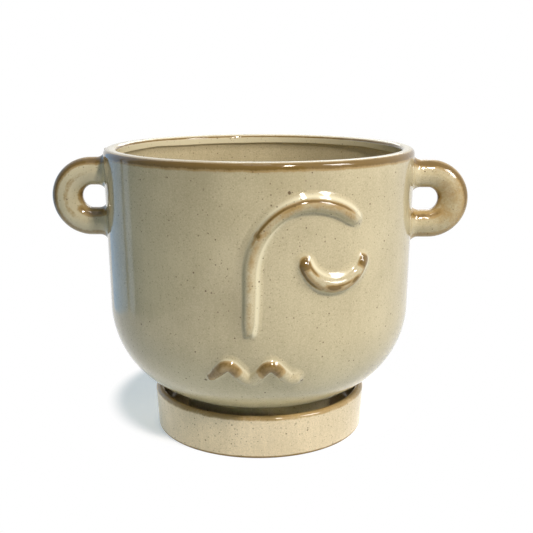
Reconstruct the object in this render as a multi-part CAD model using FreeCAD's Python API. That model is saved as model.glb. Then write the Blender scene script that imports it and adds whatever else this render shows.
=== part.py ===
import FreeCAD, Part
import math
import os

# Face planter: a glazed stoneware pot with ears and an applied face, standing in its own drip saucer.
# Millimetres. The origin is the centre of the saucer's base, +Z is up and the face looks towards -Y.
# Places on the pot's wall are given as a reach along the wall to the right of the front line, and a height.

# Saucer
SAUCER_HEIGHT = 21.4
SAUCER_WALL = 4.2
SAUCER_FLOOR = 5.2
SAUCER_FLARE = 1.0
SAUCER_RECESS = 1.2
SAUCER_STANDING_WIDTH = 9.0
SAUCER_INNER_FILLET = 4.0
SAUCER_WELL_WIDTH = 12.6
BASE_BEVEL = 0.8

# Pot bowl
RIM_RADIUS = 76.3
BOWL_HEIGHT = 123.6
WALL_TAPER_DEGREES = 1.04
WALL = 5.0
SHOULDER_RADIUS = 46.7
SHOULDER_CLEARANCE = 3.4
LIP_THICKNESS = 6.4
LIP_BEAD_HEIGHT = 5.0
LIP_UNDERCUT_HEIGHT = 1.6
FOOT_RADIUS = 37.0
FOOT_WIDTH = 7.0
FOOT_BEVEL = 0.8
FOOT_BITE_SHARE = 0.75
DRAIN_HOLE_RADIUS = 6.5

# Ears, set by hand, so the left one sits a little higher and shorter
EAR_LOOP_RADIUS = 12.6
EAR_COIL_WIDTH = 13.8
EAR_COIL_DEPTH = 12.6
LEFT_EAR_STANDOUT = 27.3
RIGHT_EAR_STANDOUT = 28.8
LEFT_EAR_DROP = 24.8
RIGHT_EAR_DROP = 26.3

# Brow and nose coil
NOSE_OFFSET = -4.2
NOSE_FOOT_HEIGHT = 52.2
BROW_CREST_DROP = 17.9
BROW_BEND_WIDTH = 26.4
BROW_BEND_HEIGHT = 31.0
BROW_RADIUS = 31.5
BROW_SWEEP_DEGREES = 45.0
NOSE_COIL_WIDTH = 5.0
BROW_COIL_WIDTH = 6.2

# Closed eye coil
EYE_OFFSET = 34.0
EYE_CENTRE_DROP = 38.6
EYE_RADIUS = 15.4
EYE_START_DEGREES = 193.0
EYE_END_DEGREES = 342.5
EYE_COIL_WIDTH = 6.6
EYE_TIP_WIDTH = 5.2

# Mouth coil
MOUTH_OFFSET = -23.2
MOUTH_HEIGHT = 27.4
MOUTH_WAVE_LENGTH = 18.7
MOUTH_WAVE_RISE = 7.1
MOUTH_TAIL_LENGTH = 4.2
MOUTH_TAIL_RISE = 1.0
MOUTH_PEAKS = 2
MOUTH_COIL_WIDTH = 5.6
MOUTH_KNEE_ROOM = 0.4

# How far the middle of a relief coil stands off the wall, and how finely its length and ends are stepped
COIL_STANDOFF = 0.3
COIL_RING_STEP = 6.0
MOUTH_RING_STEP = 1.3
END_STEPS = 4
END_FLAT_SHARE = 0.25

# Sizes worked out from the ones above
TAPER = math.tan(math.radians(WALL_TAPER_DEGREES))
LIP_RADIUS = LIP_THICKNESS / 2
SAUCER_LIP_RADIUS = SAUCER_WALL / 2
SAUCER_FLOOR_TOP = SAUCER_RECESS + SAUCER_FLOOR
SAUCER_INNER_RADIUS = FOOT_RADIUS + SAUCER_WELL_WIDTH
SAUCER_RIM_RADIUS = SAUCER_INNER_RADIUS + SAUCER_WALL
SAUCER_LIP_CENTRE = (SAUCER_INNER_RADIUS + SAUCER_LIP_RADIUS, SAUCER_HEIGHT - SAUCER_LIP_RADIUS)

# The shoulder is one arc, tangent to the wall and to the flat underside. The saucer's lip carries no weight:
# the shoulder passes it at the shoulder clearance, and that sets the height of the bowl above the saucer.
SHOULDER_CENTRE_RADIUS = (
    RIM_RADIUS - TAPER * (BOWL_HEIGHT - SHOULDER_RADIUS) - SHOULDER_RADIUS * math.sqrt(1 + TAPER**2)
)
LIP_TO_SHOULDER = SHOULDER_RADIUS + SHOULDER_CLEARANCE + SAUCER_LIP_RADIUS
LIP_OVERHANG = max(SAUCER_LIP_CENTRE[0] - SHOULDER_CENTRE_RADIUS, 0.0)
SHOULDER_CENTRE_HEIGHT = SAUCER_LIP_CENTRE[1] + math.sqrt(LIP_TO_SHOULDER**2 - LIP_OVERHANG**2)
BOWL_BOTTOM = SHOULDER_CENTRE_HEIGHT - SHOULDER_RADIUS
RIM_HEIGHT = BOWL_BOTTOM + BOWL_HEIGHT
TANGENT_ANGLE = math.atan(TAPER)
TANGENT_HEIGHT = SHOULDER_CENTRE_HEIGHT - SHOULDER_RADIUS * math.sin(TANGENT_ANGLE)


def wall_radius(height):
    """Outer radius of the straight wall, carried on above and below it."""
    return RIM_RADIUS - TAPER * (RIM_HEIGHT - height)


def bowl_radius(height):
    """Outer radius of the bowl at a height, on the wall or on the shoulder."""
    if height >= TANGENT_HEIGHT:
        return wall_radius(height)
    below = SHOULDER_CENTRE_HEIGHT - height
    return SHOULDER_CENTRE_RADIUS + math.sqrt(SHOULDER_RADIUS**2 - below**2)


def outward(reach, height):
    """Unit vector that stands square on the bowl's surface."""
    turn = reach / bowl_radius(height)
    slope = -TANGENT_ANGLE
    if height < TANGENT_HEIGHT:
        slope = -math.asin((SHOULDER_CENTRE_HEIGHT - height) / SHOULDER_RADIUS)
    level = math.cos(slope)
    return FreeCAD.Vector(level * math.sin(turn), -level * math.cos(turn), math.sin(slope))


def on_bowl(reach, height):
    """Point on the bowl's surface at a reach along the wall from the front line, and a height."""
    radius = bowl_radius(height)
    turn = reach / radius
    return FreeCAD.Vector(radius * math.sin(turn), -radius * math.cos(turn), height)


def section_point(radius, height):
    """Point of a turned section, drawn in the plane through the axis and +X."""
    return FreeCAD.Vector(radius, 0, height)


def line(start, end):
    """Straight edge between two (radius, height) pairs."""
    return Part.LineSegment(section_point(*start), section_point(*end)).toShape()


def arc(centre, radius, start_angle, end_angle):
    """Round edge about a (radius, height) centre, between two angles in radians."""
    angles = (start_angle, (start_angle + end_angle) / 2, end_angle)
    points = [
        section_point(centre[0] + radius * math.cos(a), centre[1] + radius * math.sin(a)) for a in angles
    ]
    return Part.Arc(*points).toShape()


def turned(edges):
    """Solid turned about the pot's axis from a closed chain of section edges."""
    face = Part.Face(Part.Wire(edges))
    return face.revolve(FreeCAD.Vector(0, 0, 0), FreeCAD.Vector(0, 0, 1), 360)


def polygon(points):
    """Closed chain of straight section edges."""
    return [line(start, end) for start, end in zip(points, points[1:] + points[:1])]


def shoulder_point(radius, angle):
    """Point at an angle below level on an arc about the shoulder's centre."""
    return (
        SHOULDER_CENTRE_RADIUS + radius * math.cos(angle),
        SHOULDER_CENTRE_HEIGHT - radius * math.sin(angle),
    )


def bowl_envelope():
    """The bowl's outer form without its hollow, which trims what is stuck on the wall."""
    tangent = shoulder_point(SHOULDER_RADIUS, TANGENT_ANGLE)
    underside = (SHOULDER_CENTRE_RADIUS, BOWL_BOTTOM)
    centre = (SHOULDER_CENTRE_RADIUS, SHOULDER_CENTRE_HEIGHT)
    rim = (RIM_RADIUS, RIM_HEIGHT)
    return turned([
        line((0, BOWL_BOTTOM), underside),
        arc(centre, SHOULDER_RADIUS, -math.pi / 2, -TANGENT_ANGLE),
        line(tangent, rim),
        line(rim, (0, RIM_HEIGHT)),
        line((0, RIM_HEIGHT), (0, BOWL_BOTTOM)),
    ])


def pot_bowl():
    """Bowl with a beaded rim, a rounded shoulder, a drain hole and a foot ring."""
    inner_shoulder = SHOULDER_RADIUS - WALL
    inner_floor = BOWL_BOTTOM + WALL
    centre = (SHOULDER_CENTRE_RADIUS, SHOULDER_CENTRE_HEIGHT)
    underside = (SHOULDER_CENTRE_RADIUS, BOWL_BOTTOM)
    floor = (SHOULDER_CENTRE_RADIUS, inner_floor)
    outer_tangent = shoulder_point(SHOULDER_RADIUS, TANGENT_ANGLE)
    inner_tangent = shoulder_point(inner_shoulder, TANGENT_ANGLE)
    lip_height = RIM_HEIGHT - LIP_RADIUS
    lip_outer = (wall_radius(lip_height), lip_height)
    lip_inner = (lip_outer[0] - LIP_THICKNESS, lip_height)
    bead_foot = (lip_inner[0], RIM_HEIGHT - LIP_BEAD_HEIGHT)
    undercut_height = bead_foot[1] - LIP_UNDERCUT_HEIGHT
    undercut = (wall_radius(undercut_height) - WALL * math.sqrt(1 + TAPER**2), undercut_height)
    shell = turned([
        line((DRAIN_HOLE_RADIUS, BOWL_BOTTOM), underside),
        arc(centre, SHOULDER_RADIUS, -math.pi / 2, -TANGENT_ANGLE),
        line(outer_tangent, lip_outer),
        arc((lip_outer[0] - LIP_RADIUS, lip_height), LIP_RADIUS, 0, math.pi),
        line(lip_inner, bead_foot),
        line(bead_foot, undercut),
        line(undercut, inner_tangent),
        arc(centre, inner_shoulder, -TANGENT_ANGLE, -math.pi / 2),
        line(floor, (DRAIN_HOLE_RADIUS, inner_floor)),
        line((DRAIN_HOLE_RADIUS, inner_floor), (DRAIN_HOLE_RADIUS, BOWL_BOTTOM)),
    ])
    foot_inner = FOOT_RADIUS - FOOT_WIDTH
    foot_top = BOWL_BOTTOM + FOOT_BITE_SHARE * WALL
    foot_ring = turned(polygon([
        (foot_inner + FOOT_BEVEL, SAUCER_FLOOR_TOP),
        (FOOT_RADIUS - FOOT_BEVEL, SAUCER_FLOOR_TOP),
        (FOOT_RADIUS, SAUCER_FLOOR_TOP + FOOT_BEVEL),
        (FOOT_RADIUS, foot_top),
        (foot_inner, foot_top),
        (foot_inner, SAUCER_FLOOR_TOP + FOOT_BEVEL),
    ]))
    return shell.fuse(foot_ring).removeSplitter()


def ear(standout, drop, side, envelope):
    """C-shaped loop of thick coil, its two ends seated on the wall. Side is 1 for right and -1 for left."""
    height = RIM_HEIGHT - drop
    bend_centre = wall_radius(height) + standout - EAR_COIL_WIDTH / 2 - EAR_LOOP_RADIUS
    top = height + EAR_LOOP_RADIUS
    bottom = height - EAR_LOOP_RADIUS
    root = bowl_radius(bottom) - WALL / 2
    path = Part.Wire([
        line((root, top), (bend_centre, top)),
        arc((bend_centre, height), EAR_LOOP_RADIUS, math.pi / 2, -math.pi / 2),
        line((bend_centre, bottom), (root, bottom)),
    ])
    section = Part.Ellipse(
        FreeCAD.Vector(root, 0, top + EAR_COIL_WIDTH / 2),
        FreeCAD.Vector(root, EAR_COIL_DEPTH / 2, top),
        FreeCAD.Vector(root, 0, top),
    )
    loop = path.makePipeShell([Part.Wire([section.toShape()])], True, False)
    if side < 0:
        loop = loop.mirror(FreeCAD.Vector(0, 0, 0), FreeCAD.Vector(1, 0, 0))
    return loop.cut(envelope)


def coil_section(path, index, radius):
    """Round section of a relief coil, square to its path and a little off the wall."""
    reach, height = path[index]
    before = on_bowl(*path[max(index - 1, 0)])
    after = on_bowl(*path[min(index + 1, len(path) - 1)])
    away = outward(reach, height)
    along = (after - before).normalize()
    turn = FreeCAD.Rotation(away, along.cross(away), along, "ZXY")
    ring = Part.Wire([Part.Circle(FreeCAD.Vector(), FreeCAD.Vector(0, 0, 1), radius).toShape()])
    ring.Placement = FreeCAD.Placement(on_bowl(reach, height) + away * COIL_STANDOFF, turn)
    return ring


def relief_coil(path, radii, envelope):
    """Coil laid along a path on the wall, one radius for each point of the path, trimmed to the wall."""
    rings = [coil_section(path, index, radius) for index, radius in enumerate(radii)]
    return Part.makeLoft(rings, True).cut(envelope)


def round_ends(trace, length, width, ring_step):
    """Points and radii along a coil with round ends.

    trace gives the point at a distance along the coil's middle line, and width the coil's width there.
    ring_step is the usual distance from one section to the next.
    """
    start_radius = width(0.0) / 2
    end_radius = width(length) / 2
    flat = math.acos(END_FLAT_SHARE)
    distances = []
    radii = []
    for step in range(END_STEPS):
        angle = flat * (1 - step / END_STEPS)
        distances.append(start_radius * (1 - math.sin(angle)))
        radii.append(start_radius * math.cos(angle))
    body = length - start_radius - end_radius
    spans = max(round(body / ring_step), 2)
    for step in range(spans + 1):
        distances.append(start_radius + body * step / spans)
        radii.append(width(distances[-1]) / 2)
    for step in range(1, END_STEPS + 1):
        angle = flat * step / END_STEPS
        distances.append(length - end_radius * (1 - math.sin(angle)))
        radii.append(end_radius * math.cos(angle))
    return [trace(distance) for distance in distances], radii


def brow_nose_coil(envelope):
    """One coil that climbs the nose, bends over and runs out along the brow."""
    crest = RIM_HEIGHT - BROW_CREST_DROP
    bend_foot = crest - BROW_BEND_HEIGHT
    bend_middle = NOSE_OFFSET + BROW_BEND_WIDTH
    nose_foot = BOWL_BOTTOM + NOSE_FOOT_HEIGHT - NOSE_COIL_WIDTH / 2
    nose_length = bend_foot - nose_foot
    bend_length = math.pi / 2 * math.sqrt((BROW_BEND_WIDTH**2 + BROW_BEND_HEIGHT**2) / 2)
    brow_length = BROW_RADIUS * math.radians(BROW_SWEEP_DEGREES)
    length = nose_length + bend_length + brow_length

    def trace(distance):
        if distance <= nose_length:
            return (NOSE_OFFSET, nose_foot + distance)
        distance -= nose_length
        if distance <= bend_length:
            angle = math.pi / 2 * (2 - distance / bend_length)
            return (
                bend_middle + BROW_BEND_WIDTH * math.cos(angle),
                bend_foot + BROW_BEND_HEIGHT * math.sin(angle),
            )
        angle = (distance - bend_length) / BROW_RADIUS
        return (
            bend_middle + BROW_RADIUS * math.sin(angle),
            crest - BROW_RADIUS * (1 - math.cos(angle)),
        )

    def width(distance):
        swell = math.sin(math.pi / 2 * distance / length)
        return NOSE_COIL_WIDTH + (BROW_COIL_WIDTH - NOSE_COIL_WIDTH) * swell

    path, radii = round_ends(trace, length, width, COIL_RING_STEP)
    return relief_coil(path, radii, envelope)


def closed_eye_coil(envelope):
    """Crescent coil, thickest in the middle."""
    start = math.radians(EYE_START_DEGREES)
    sweep = math.radians(EYE_END_DEGREES) - start
    length = EYE_RADIUS * sweep
    centre_height = RIM_HEIGHT - EYE_CENTRE_DROP

    def trace(distance):
        angle = start + distance / EYE_RADIUS
        return (EYE_OFFSET + EYE_RADIUS * math.cos(angle), centre_height + EYE_RADIUS * math.sin(angle))

    def width(distance):
        swell = math.sin(math.pi * distance / length)
        return EYE_TIP_WIDTH + (EYE_COIL_WIDTH - EYE_TIP_WIDTH) * swell

    path, radii = round_ends(trace, length, width, COIL_RING_STEP)
    return relief_coil(path, radii, envelope)


def mouth_coil(envelope):
    """Wavy coil with two peaks: straight limbs between round knees, and a short tail on the right."""
    low = BOWL_BOTTOM + MOUTH_HEIGHT
    half_wave = MOUTH_WAVE_LENGTH / 2
    knee = MOUTH_COIL_WIDTH / 2 + MOUTH_KNEE_ROOM
    steepness = math.atan2(MOUTH_WAVE_RISE - 2 * knee, half_wave) + math.asin(
        2 * knee / math.hypot(half_wave, MOUTH_WAVE_RISE - 2 * knee)
    )
    knee_length = knee * steepness
    limb_length = (half_wave - 2 * knee * math.sin(steepness)) / math.cos(steepness)
    half_length = 2 * knee_length + limb_length
    wave_end = 2 * MOUTH_PEAKS * half_length

    def climb(distance):
        """Forward and upward travel from a low knee towards the next peak."""
        if distance <= knee_length:
            angle = distance / knee
            return (knee * math.sin(angle), knee * (1 - math.cos(angle)))
        if distance <= knee_length + limb_length:
            along = distance - knee_length
            return (
                knee * math.sin(steepness) + along * math.cos(steepness),
                knee * (1 - math.cos(steepness)) + along * math.sin(steepness),
            )
        forward, upward = climb(half_length - distance)
        return (half_wave - forward, MOUTH_WAVE_RISE - upward)

    def trace(distance):
        if distance >= wave_end:
            share = (distance - wave_end) / MOUTH_TAIL_LENGTH
            forward = 2 * MOUTH_PEAKS * half_wave + share * MOUTH_TAIL_LENGTH
            return (MOUTH_OFFSET + forward, low + MOUTH_TAIL_RISE * share**2)
        step = int(distance // half_length)
        forward, upward = climb(distance - step * half_length)
        if step % 2:
            upward = MOUTH_WAVE_RISE - upward
        return (MOUTH_OFFSET + step * half_wave + forward, low + upward)

    def width(distance):
        return MOUTH_COIL_WIDTH

    path, radii = round_ends(trace, wave_end + MOUTH_TAIL_LENGTH, width, MOUTH_RING_STEP)
    return relief_coil(path, radii, envelope)


def saucer():
    """Drip saucer with a rounded lip, a flat well for the pot's foot and a standing ring underneath."""
    base_radius = SAUCER_RIM_RADIUS - SAUCER_FLARE
    recess_radius = base_radius - SAUCER_STANDING_WIDTH
    lip_height = SAUCER_LIP_CENTRE[1]
    fillet_centre = (SAUCER_INNER_RADIUS - SAUCER_INNER_FILLET, SAUCER_FLOOR_TOP + SAUCER_INNER_FILLET)
    outline = [
        (0, SAUCER_RECESS),
        (recess_radius, SAUCER_RECESS),
        (recess_radius + SAUCER_RECESS, 0),
        (base_radius - BASE_BEVEL, 0),
        (base_radius, BASE_BEVEL),
        (SAUCER_RIM_RADIUS, lip_height),
    ]
    edges = [line(start, end) for start, end in zip(outline, outline[1:])]
    edges += [
        arc(SAUCER_LIP_CENTRE, SAUCER_LIP_RADIUS, 0, math.pi),
        line((SAUCER_INNER_RADIUS, lip_height), (SAUCER_INNER_RADIUS, fillet_centre[1])),
        arc(fillet_centre, SAUCER_INNER_FILLET, 0, -math.pi / 2),
        line((fillet_centre[0], SAUCER_FLOOR_TOP), (0, SAUCER_FLOOR_TOP)),
        line((0, SAUCER_FLOOR_TOP), (0, SAUCER_RECESS)),
    ]
    return turned(edges)


def main():
    """Build every piece and write one STEP file for each."""
    os.makedirs("parts", exist_ok=True)
    envelope = bowl_envelope()
    pieces = {
        "pot_bowl": pot_bowl(),
        "left_ear": ear(LEFT_EAR_STANDOUT, LEFT_EAR_DROP, -1, envelope),
        "right_ear": ear(RIGHT_EAR_STANDOUT, RIGHT_EAR_DROP, 1, envelope),
        "brow_nose_coil": brow_nose_coil(envelope),
        "closed_eye_coil": closed_eye_coil(envelope),
        "mouth_coil": mouth_coil(envelope),
        "saucer": saucer(),
    }
    for name, shape in pieces.items():
        shape.exportStep(os.path.join("parts", name + ".step"))
        print(f"{name}: {len(shape.Solids)} solid, valid {shape.isValid()}, {shape.Volume:.0f} mm3")


main()
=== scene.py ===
import logging
import math
from abc import ABC, abstractmethod
from dataclasses import dataclass, field, replace
from enum import Enum

import bpy
import numpy as np
from mathutils import Euler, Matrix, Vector


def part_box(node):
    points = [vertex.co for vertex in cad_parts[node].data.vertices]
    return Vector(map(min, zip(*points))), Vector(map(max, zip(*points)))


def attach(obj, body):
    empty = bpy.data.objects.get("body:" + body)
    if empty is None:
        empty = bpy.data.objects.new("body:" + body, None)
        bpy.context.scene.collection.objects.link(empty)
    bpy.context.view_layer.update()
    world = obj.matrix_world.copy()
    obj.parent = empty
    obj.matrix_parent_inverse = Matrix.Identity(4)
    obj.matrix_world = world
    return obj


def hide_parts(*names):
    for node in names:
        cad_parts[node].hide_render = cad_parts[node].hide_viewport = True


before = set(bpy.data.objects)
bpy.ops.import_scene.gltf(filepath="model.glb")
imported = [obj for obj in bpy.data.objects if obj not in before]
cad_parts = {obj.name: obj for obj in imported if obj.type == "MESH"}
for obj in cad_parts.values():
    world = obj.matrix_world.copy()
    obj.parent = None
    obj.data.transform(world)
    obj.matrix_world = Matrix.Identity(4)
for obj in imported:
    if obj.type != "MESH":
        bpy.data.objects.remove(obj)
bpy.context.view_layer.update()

# Looks of a glazed stoneware face planter: a turned pot with ears and an applied face, in its own saucer.
# Metres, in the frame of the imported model: +Z is up and the face looks towards -Y.
# Places on the wall are a reach along it to the right of the front line, and a height.
# A Span is where a smooth step starts and ends. A Band is the middle and half width of a smooth hump.
# A Swing is a least amount and what is added to it. A tint is how far the glaze breaks to brown.

MM = 0.001
QUARTER = math.pi / 2
Colour = tuple[float, float, float, float]
Point = tuple[float, float]
Place = tuple[float, float, float]
Span = tuple[float, float]
Band = tuple[float, float]
Swing = tuple[float, float]
Socket = bpy.types.NodeSocket
Value = Socket | float | int | str | Colour | Place
log = logging.getLogger("face_planter")


class Body(Enum):
    """Bodies that a piece can ride on."""

    POT = "pot"
    SAUCER = "saucer"


class Slot(Enum):
    """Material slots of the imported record."""

    POT = "pot_glaze"
    RELIEF = "relief_glaze"
    SAUCER = "saucer_glaze"


class Side(Enum):
    """Side of the pot that an ear stands on, as the sign of X."""

    LEFT = -1
    RIGHT = 1


class Note(Enum):
    """Mesh attributes that the glaze reads, and those that only shape a piece."""

    THIN = "glaze_thin"
    # Marks the paler pooled glaze, and also light painted onto the bead's face and the left ear.
    THICK = "glaze_thick"
    BARE = "bare_clay"
    SWAY = "sway"
    RADIUS = "coil_radius"
    ALONG = "along"
    ACROSS = "across"
    CREST = "crest"
    TANGENT = "tangent"


def ease(low: float, high: float, value: np.ndarray | float) -> np.ndarray:
    """Smooth step from 0 at low to 1 at high.

    Args:
        low: Value where the step starts. It may lie above high, for a falling step.
        high: Value where the step ends.
        value: What is compared.

    Returns:
        The step at each value.
    """
    share = np.clip((np.asarray(value, float) - low) / (high - low), 0.0, 1.0)
    return share * share * (3.0 - 2.0 * share)


def hump(middle: float, half_width: float, value: np.ndarray) -> np.ndarray:
    """Smooth hump of height 1 at a middle value, 0 beyond half a width from it."""
    return ease(half_width, 0.0, np.abs(value - middle))


def swung(swing: Swing, share: np.ndarray) -> np.ndarray:
    """A least amount, plus what a share adds to it."""
    return swing[0] + swing[1] * share


def set_note(mesh: bpy.types.Mesh, note: Note, values: np.ndarray) -> None:
    """Store one number for each point of a mesh.

    Args:
        mesh: Mesh that takes the attribute.
        note: Which attribute it is.
        values: A number for each point, or a vector for the tangent.
    """
    kind = "FLOAT_VECTOR" if values.ndim == 2 else "FLOAT"
    key = "vector" if values.ndim == 2 else "value"
    layer = mesh.attributes.get(note.value) or mesh.attributes.new(note.value, kind, "POINT")
    layer.data.foreach_set(key, values.astype(np.float32).ravel())


def get_note(mesh: bpy.types.Mesh, note: Note) -> np.ndarray:
    """Read one number for each point of a mesh.

    Args:
        mesh: Mesh that has the attribute.
        note: Which attribute it is.

    Returns:
        The numbers, in the order of the points.
    """
    values = np.zeros(len(mesh.vertices), np.float32)
    mesh.attributes[note.value].data.foreach_get("value", values)
    return values.astype(float)


def get_points(mesh: bpy.types.Mesh) -> np.ndarray:
    """Read the points of a mesh.

    Args:
        mesh: The mesh.

    Returns:
        Rows of X, Y and Z.
    """
    values = np.zeros(len(mesh.vertices) * 3, np.float32)
    mesh.vertices.foreach_get("co", values)
    return values.reshape(-1, 3).astype(float)


def set_points(mesh: bpy.types.Mesh, points: np.ndarray) -> None:
    """Move the points of a mesh to rows of X, Y and Z."""
    mesh.vertices.foreach_set("co", points.astype(np.float32).ravel())
    mesh.update()


def chain_mesh(name: str, points: np.ndarray) -> bpy.types.Mesh:
    """Make a mesh that is only a chain of edges.

    Args:
        name: Name of the mesh.
        points: Rows of X, Y and Z that the chain runs through.

    Returns:
        The chain.
    """
    mesh = bpy.data.meshes.new(name)
    mesh.from_pydata(points.tolist(), [(i, i + 1) for i in range(len(points) - 1)], [])
    return mesh


def link_object(name: str, data: bpy.types.ID) -> bpy.types.Object:
    """Put a new object into the scene, at the origin.

    Args:
        name: Name of the object.
        data: Its mesh, light or camera.

    Returns:
        The object.
    """
    thing = bpy.data.objects.new(name, data)
    bpy.context.scene.collection.objects.link(thing)
    return thing


class NodeSheet:
    """A node tree, with short calls that add nodes and join them."""

    def __init__(self, tree: bpy.types.NodeTree) -> None:
        """Take the tree that the nodes go into."""
        self.tree = tree

    def inputs(self, kinds: dict[str, str]) -> dict[str, Socket]:
        """Give the tree its named inputs.

        Args:
            kinds: Socket type for each name, without its NodeSocket prefix.

        Returns:
            The sockets that carry the inputs into the tree, by name.
        """
        for name, kind in kinds.items():
            self.tree.interface.new_socket(name=name, in_out="INPUT", socket_type="NodeSocket" + kind)
        node = self.tree.nodes.new("NodeGroupInput")
        return {name: node.outputs[name] for name in kinds}

    def outputs(self, kinds: dict[str, str], values: dict[str, Socket]) -> None:
        """Give the tree its named outputs.

        Args:
            kinds: Socket type for each name, without its NodeSocket prefix.
            values: The socket that feeds each name.
        """
        for name, kind in kinds.items():
            self.tree.interface.new_socket(name=name, in_out="OUTPUT", socket_type="NodeSocket" + kind)
        node = self.tree.nodes.new("NodeGroupOutput")
        for name, value in values.items():
            self.feed(node.inputs[name], value)

    def feed(self, socket: Socket, value: Value) -> None:
        """Join a socket to another one, or set it to a plain value.

        Args:
            socket: The input that is fed.
            value: Where it gets its value from, or the value itself.
        """
        if isinstance(value, Socket):
            self.tree.links.new(value, socket)
        else:
            socket.default_value = value

    def add(
        self, kind: str, inputs: dict[str | int, Value] | None = None, **settings: object
    ) -> bpy.types.Node:
        """Add a node.

        Args:
            kind: Blender's name of the node's type.
            inputs: Socket or plain value for each input, by name or number.
            settings: The node's own options.

        Returns:
            The new node.
        """
        node = self.tree.nodes.new(kind)
        for name, setting in settings.items():
            setattr(node, name, setting)
        for key, value in (inputs or {}).items():
            self.feed(node.inputs[key], value)
        return node

    def math(self, operation: str, *operands: Value) -> Socket:
        """Result of a sum on numbers."""
        return self.add("ShaderNodeMath", dict(enumerate(operands)), operation=operation).outputs[0]

    def vector(self, operation: str, *operands: Value) -> Socket:
        """Vector result of a sum on vectors."""
        return self.add("ShaderNodeVectorMath", dict(enumerate(operands)), operation=operation).outputs[0]

    def distance(self, first: Value, second: Value) -> Socket:
        """Distance between two places."""
        inputs = {0: first, 1: second}
        return self.add("ShaderNodeVectorMath", inputs, operation="DISTANCE").outputs["Value"]

    def split(self, vector: Socket) -> bpy.types.NodeOutputs:
        """X, Y and Z of a vector."""
        return self.add("ShaderNodeSeparateXYZ", {"Vector": vector}).outputs

    def join(self, x: Value, y: Value, z: Value) -> Socket:
        """Vector from X, Y and Z."""
        return self.add("ShaderNodeCombineXYZ", {"X": x, "Y": y, "Z": z}).outputs[0]

    def span(self, value: Socket, low: Value, high: Value, start: Value = 0.0, end: Value = 1.0) -> Socket:
        """Number carried smoothly from start at low to end at high."""
        ranges = {"Value": value, "From Min": low, "From Max": high, "To Min": start, "To Max": end}
        return self.add("ShaderNodeMapRange", ranges, interpolation_type="SMOOTHSTEP").outputs["Result"]

    def blend(self, share: Socket, first: Value, second: Value) -> Socket:
        """Blend two colours.

        Args:
            share: 0 for the first colour and 1 for the second.
            first: One colour.
            second: The other.

        Returns:
            The colour between them.
        """
        first_input, second_input, colour_output = 6, 7, 2
        inputs = {"Factor": share, first_input: first, second_input: second}
        return self.add("ShaderNodeMix", inputs, data_type="RGBA").outputs[colour_output]

    def between(self, share: Socket, first: Value, second: Value) -> Socket:
        """Number between two others."""
        return self.add("ShaderNodeMix", {0: share, 2: first, 3: second}, data_type="FLOAT").outputs[0]

    def noise(self, vector: Socket, scale: Value, detail: float, seed: Value = 0.0) -> Socket:
        """Soft noise from 0 to 1 over a vector."""
        values = {"Vector": vector, "W": seed, "Scale": scale, "Detail": detail}
        return self.add("ShaderNodeTexNoise", values, noise_dimensions="4D").outputs["Fac"]

    def swing(self, noise: Socket, amount: Socket) -> Socket:
        """Noise about 0 instead of about a half, times an amount."""
        return self.math("MULTIPLY", self.math("SUBTRACT", noise, 0.5), amount)


class FormTree:
    """A Geometry Nodes tree that grows a piece's mesh from a chain of points."""

    def __init__(self, name: str) -> None:
        """Start an empty tree."""
        self.tree = bpy.data.node_groups.new(name, "GeometryNodeTree")
        self.sheet = NodeSheet(self.tree)

    def sampled(self, source: Socket, note: Note, index: Socket, kind: str = "FLOAT") -> Socket:
        """Read an attribute of the chain's points.

        Args:
            source: The chain.
            note: Which attribute it is.
            index: Number of the point.
            kind: Data type of the attribute.

        Returns:
            The attribute at that point.
        """
        name = {"Name": note.value}
        value = self.sheet.add("GeometryNodeInputNamedAttribute", name, data_type=kind).outputs["Attribute"]
        return self.sampled_value(source, value, index, kind)

    def sampled_value(self, source: Socket, value: Socket, index: Socket, kind: str) -> Socket:
        """A field on the chain's points, read at an index."""
        inputs = {"Geometry": source, "Value": value, "Index": index}
        return self.sheet.add("GeometryNodeSampleIndex", inputs, data_type=kind).outputs["Value"]

    def position(self) -> Socket:
        """Each point's own place."""
        return self.sheet.add("GeometryNodeInputPosition").outputs[0]

    def store(self, geometry: Socket, note: Note, value: Socket) -> Socket:
        """The geometry with one more number at each point."""
        inputs = {"Geometry": geometry, "Name": note.value, "Value": value}
        return self.sheet.add("GeometryNodeStoreNamedAttribute", inputs, data_type="FLOAT").outputs[0]

    def close(self, geometry: Socket, finish: Socket) -> None:
        """End the tree with smooth shading, real geometry and a material.

        Args:
            geometry: The finished shape.
            finish: The material.
        """
        smooth = self.sheet.add("GeometryNodeSetShadeSmooth", {"Geometry": geometry}).outputs[0]
        real = self.sheet.add("GeometryNodeRealizeInstances", {"Geometry": smooth}).outputs[0]
        inputs = {"Geometry": real, "Material": finish}
        dressed = self.sheet.add("GeometryNodeSetMaterial", inputs).outputs[0]
        self.sheet.outputs({"Form": "Geometry"}, {"Form": dressed})

    def grow(self, name: str, seed: bpy.types.Mesh, values: dict[str, object]) -> bpy.types.Object:
        """Run the tree on a chain of points.

        Args:
            name: Name of the new object.
            seed: The chain.
            values: A value for each named input.

        Returns:
            An object with the grown shape as its plain mesh.
        """
        piece = link_object(name, seed)
        modifier = piece.modifiers.new("form", "NODES")
        modifier.node_group = self.tree
        for item in self.tree.interface.items_tree:
            if item.name in values:
                modifier[item.identifier] = values[item.name]
        depsgraph = bpy.context.evaluated_depsgraph_get()
        grown = bpy.data.meshes.new_from_object(
            piece.evaluated_get(depsgraph), preserve_all_data_layers=True, depsgraph=depsgraph
        )
        piece.modifiers.remove(modifier)
        piece.data = grown
        bpy.data.meshes.remove(seed)
        return piece


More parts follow.
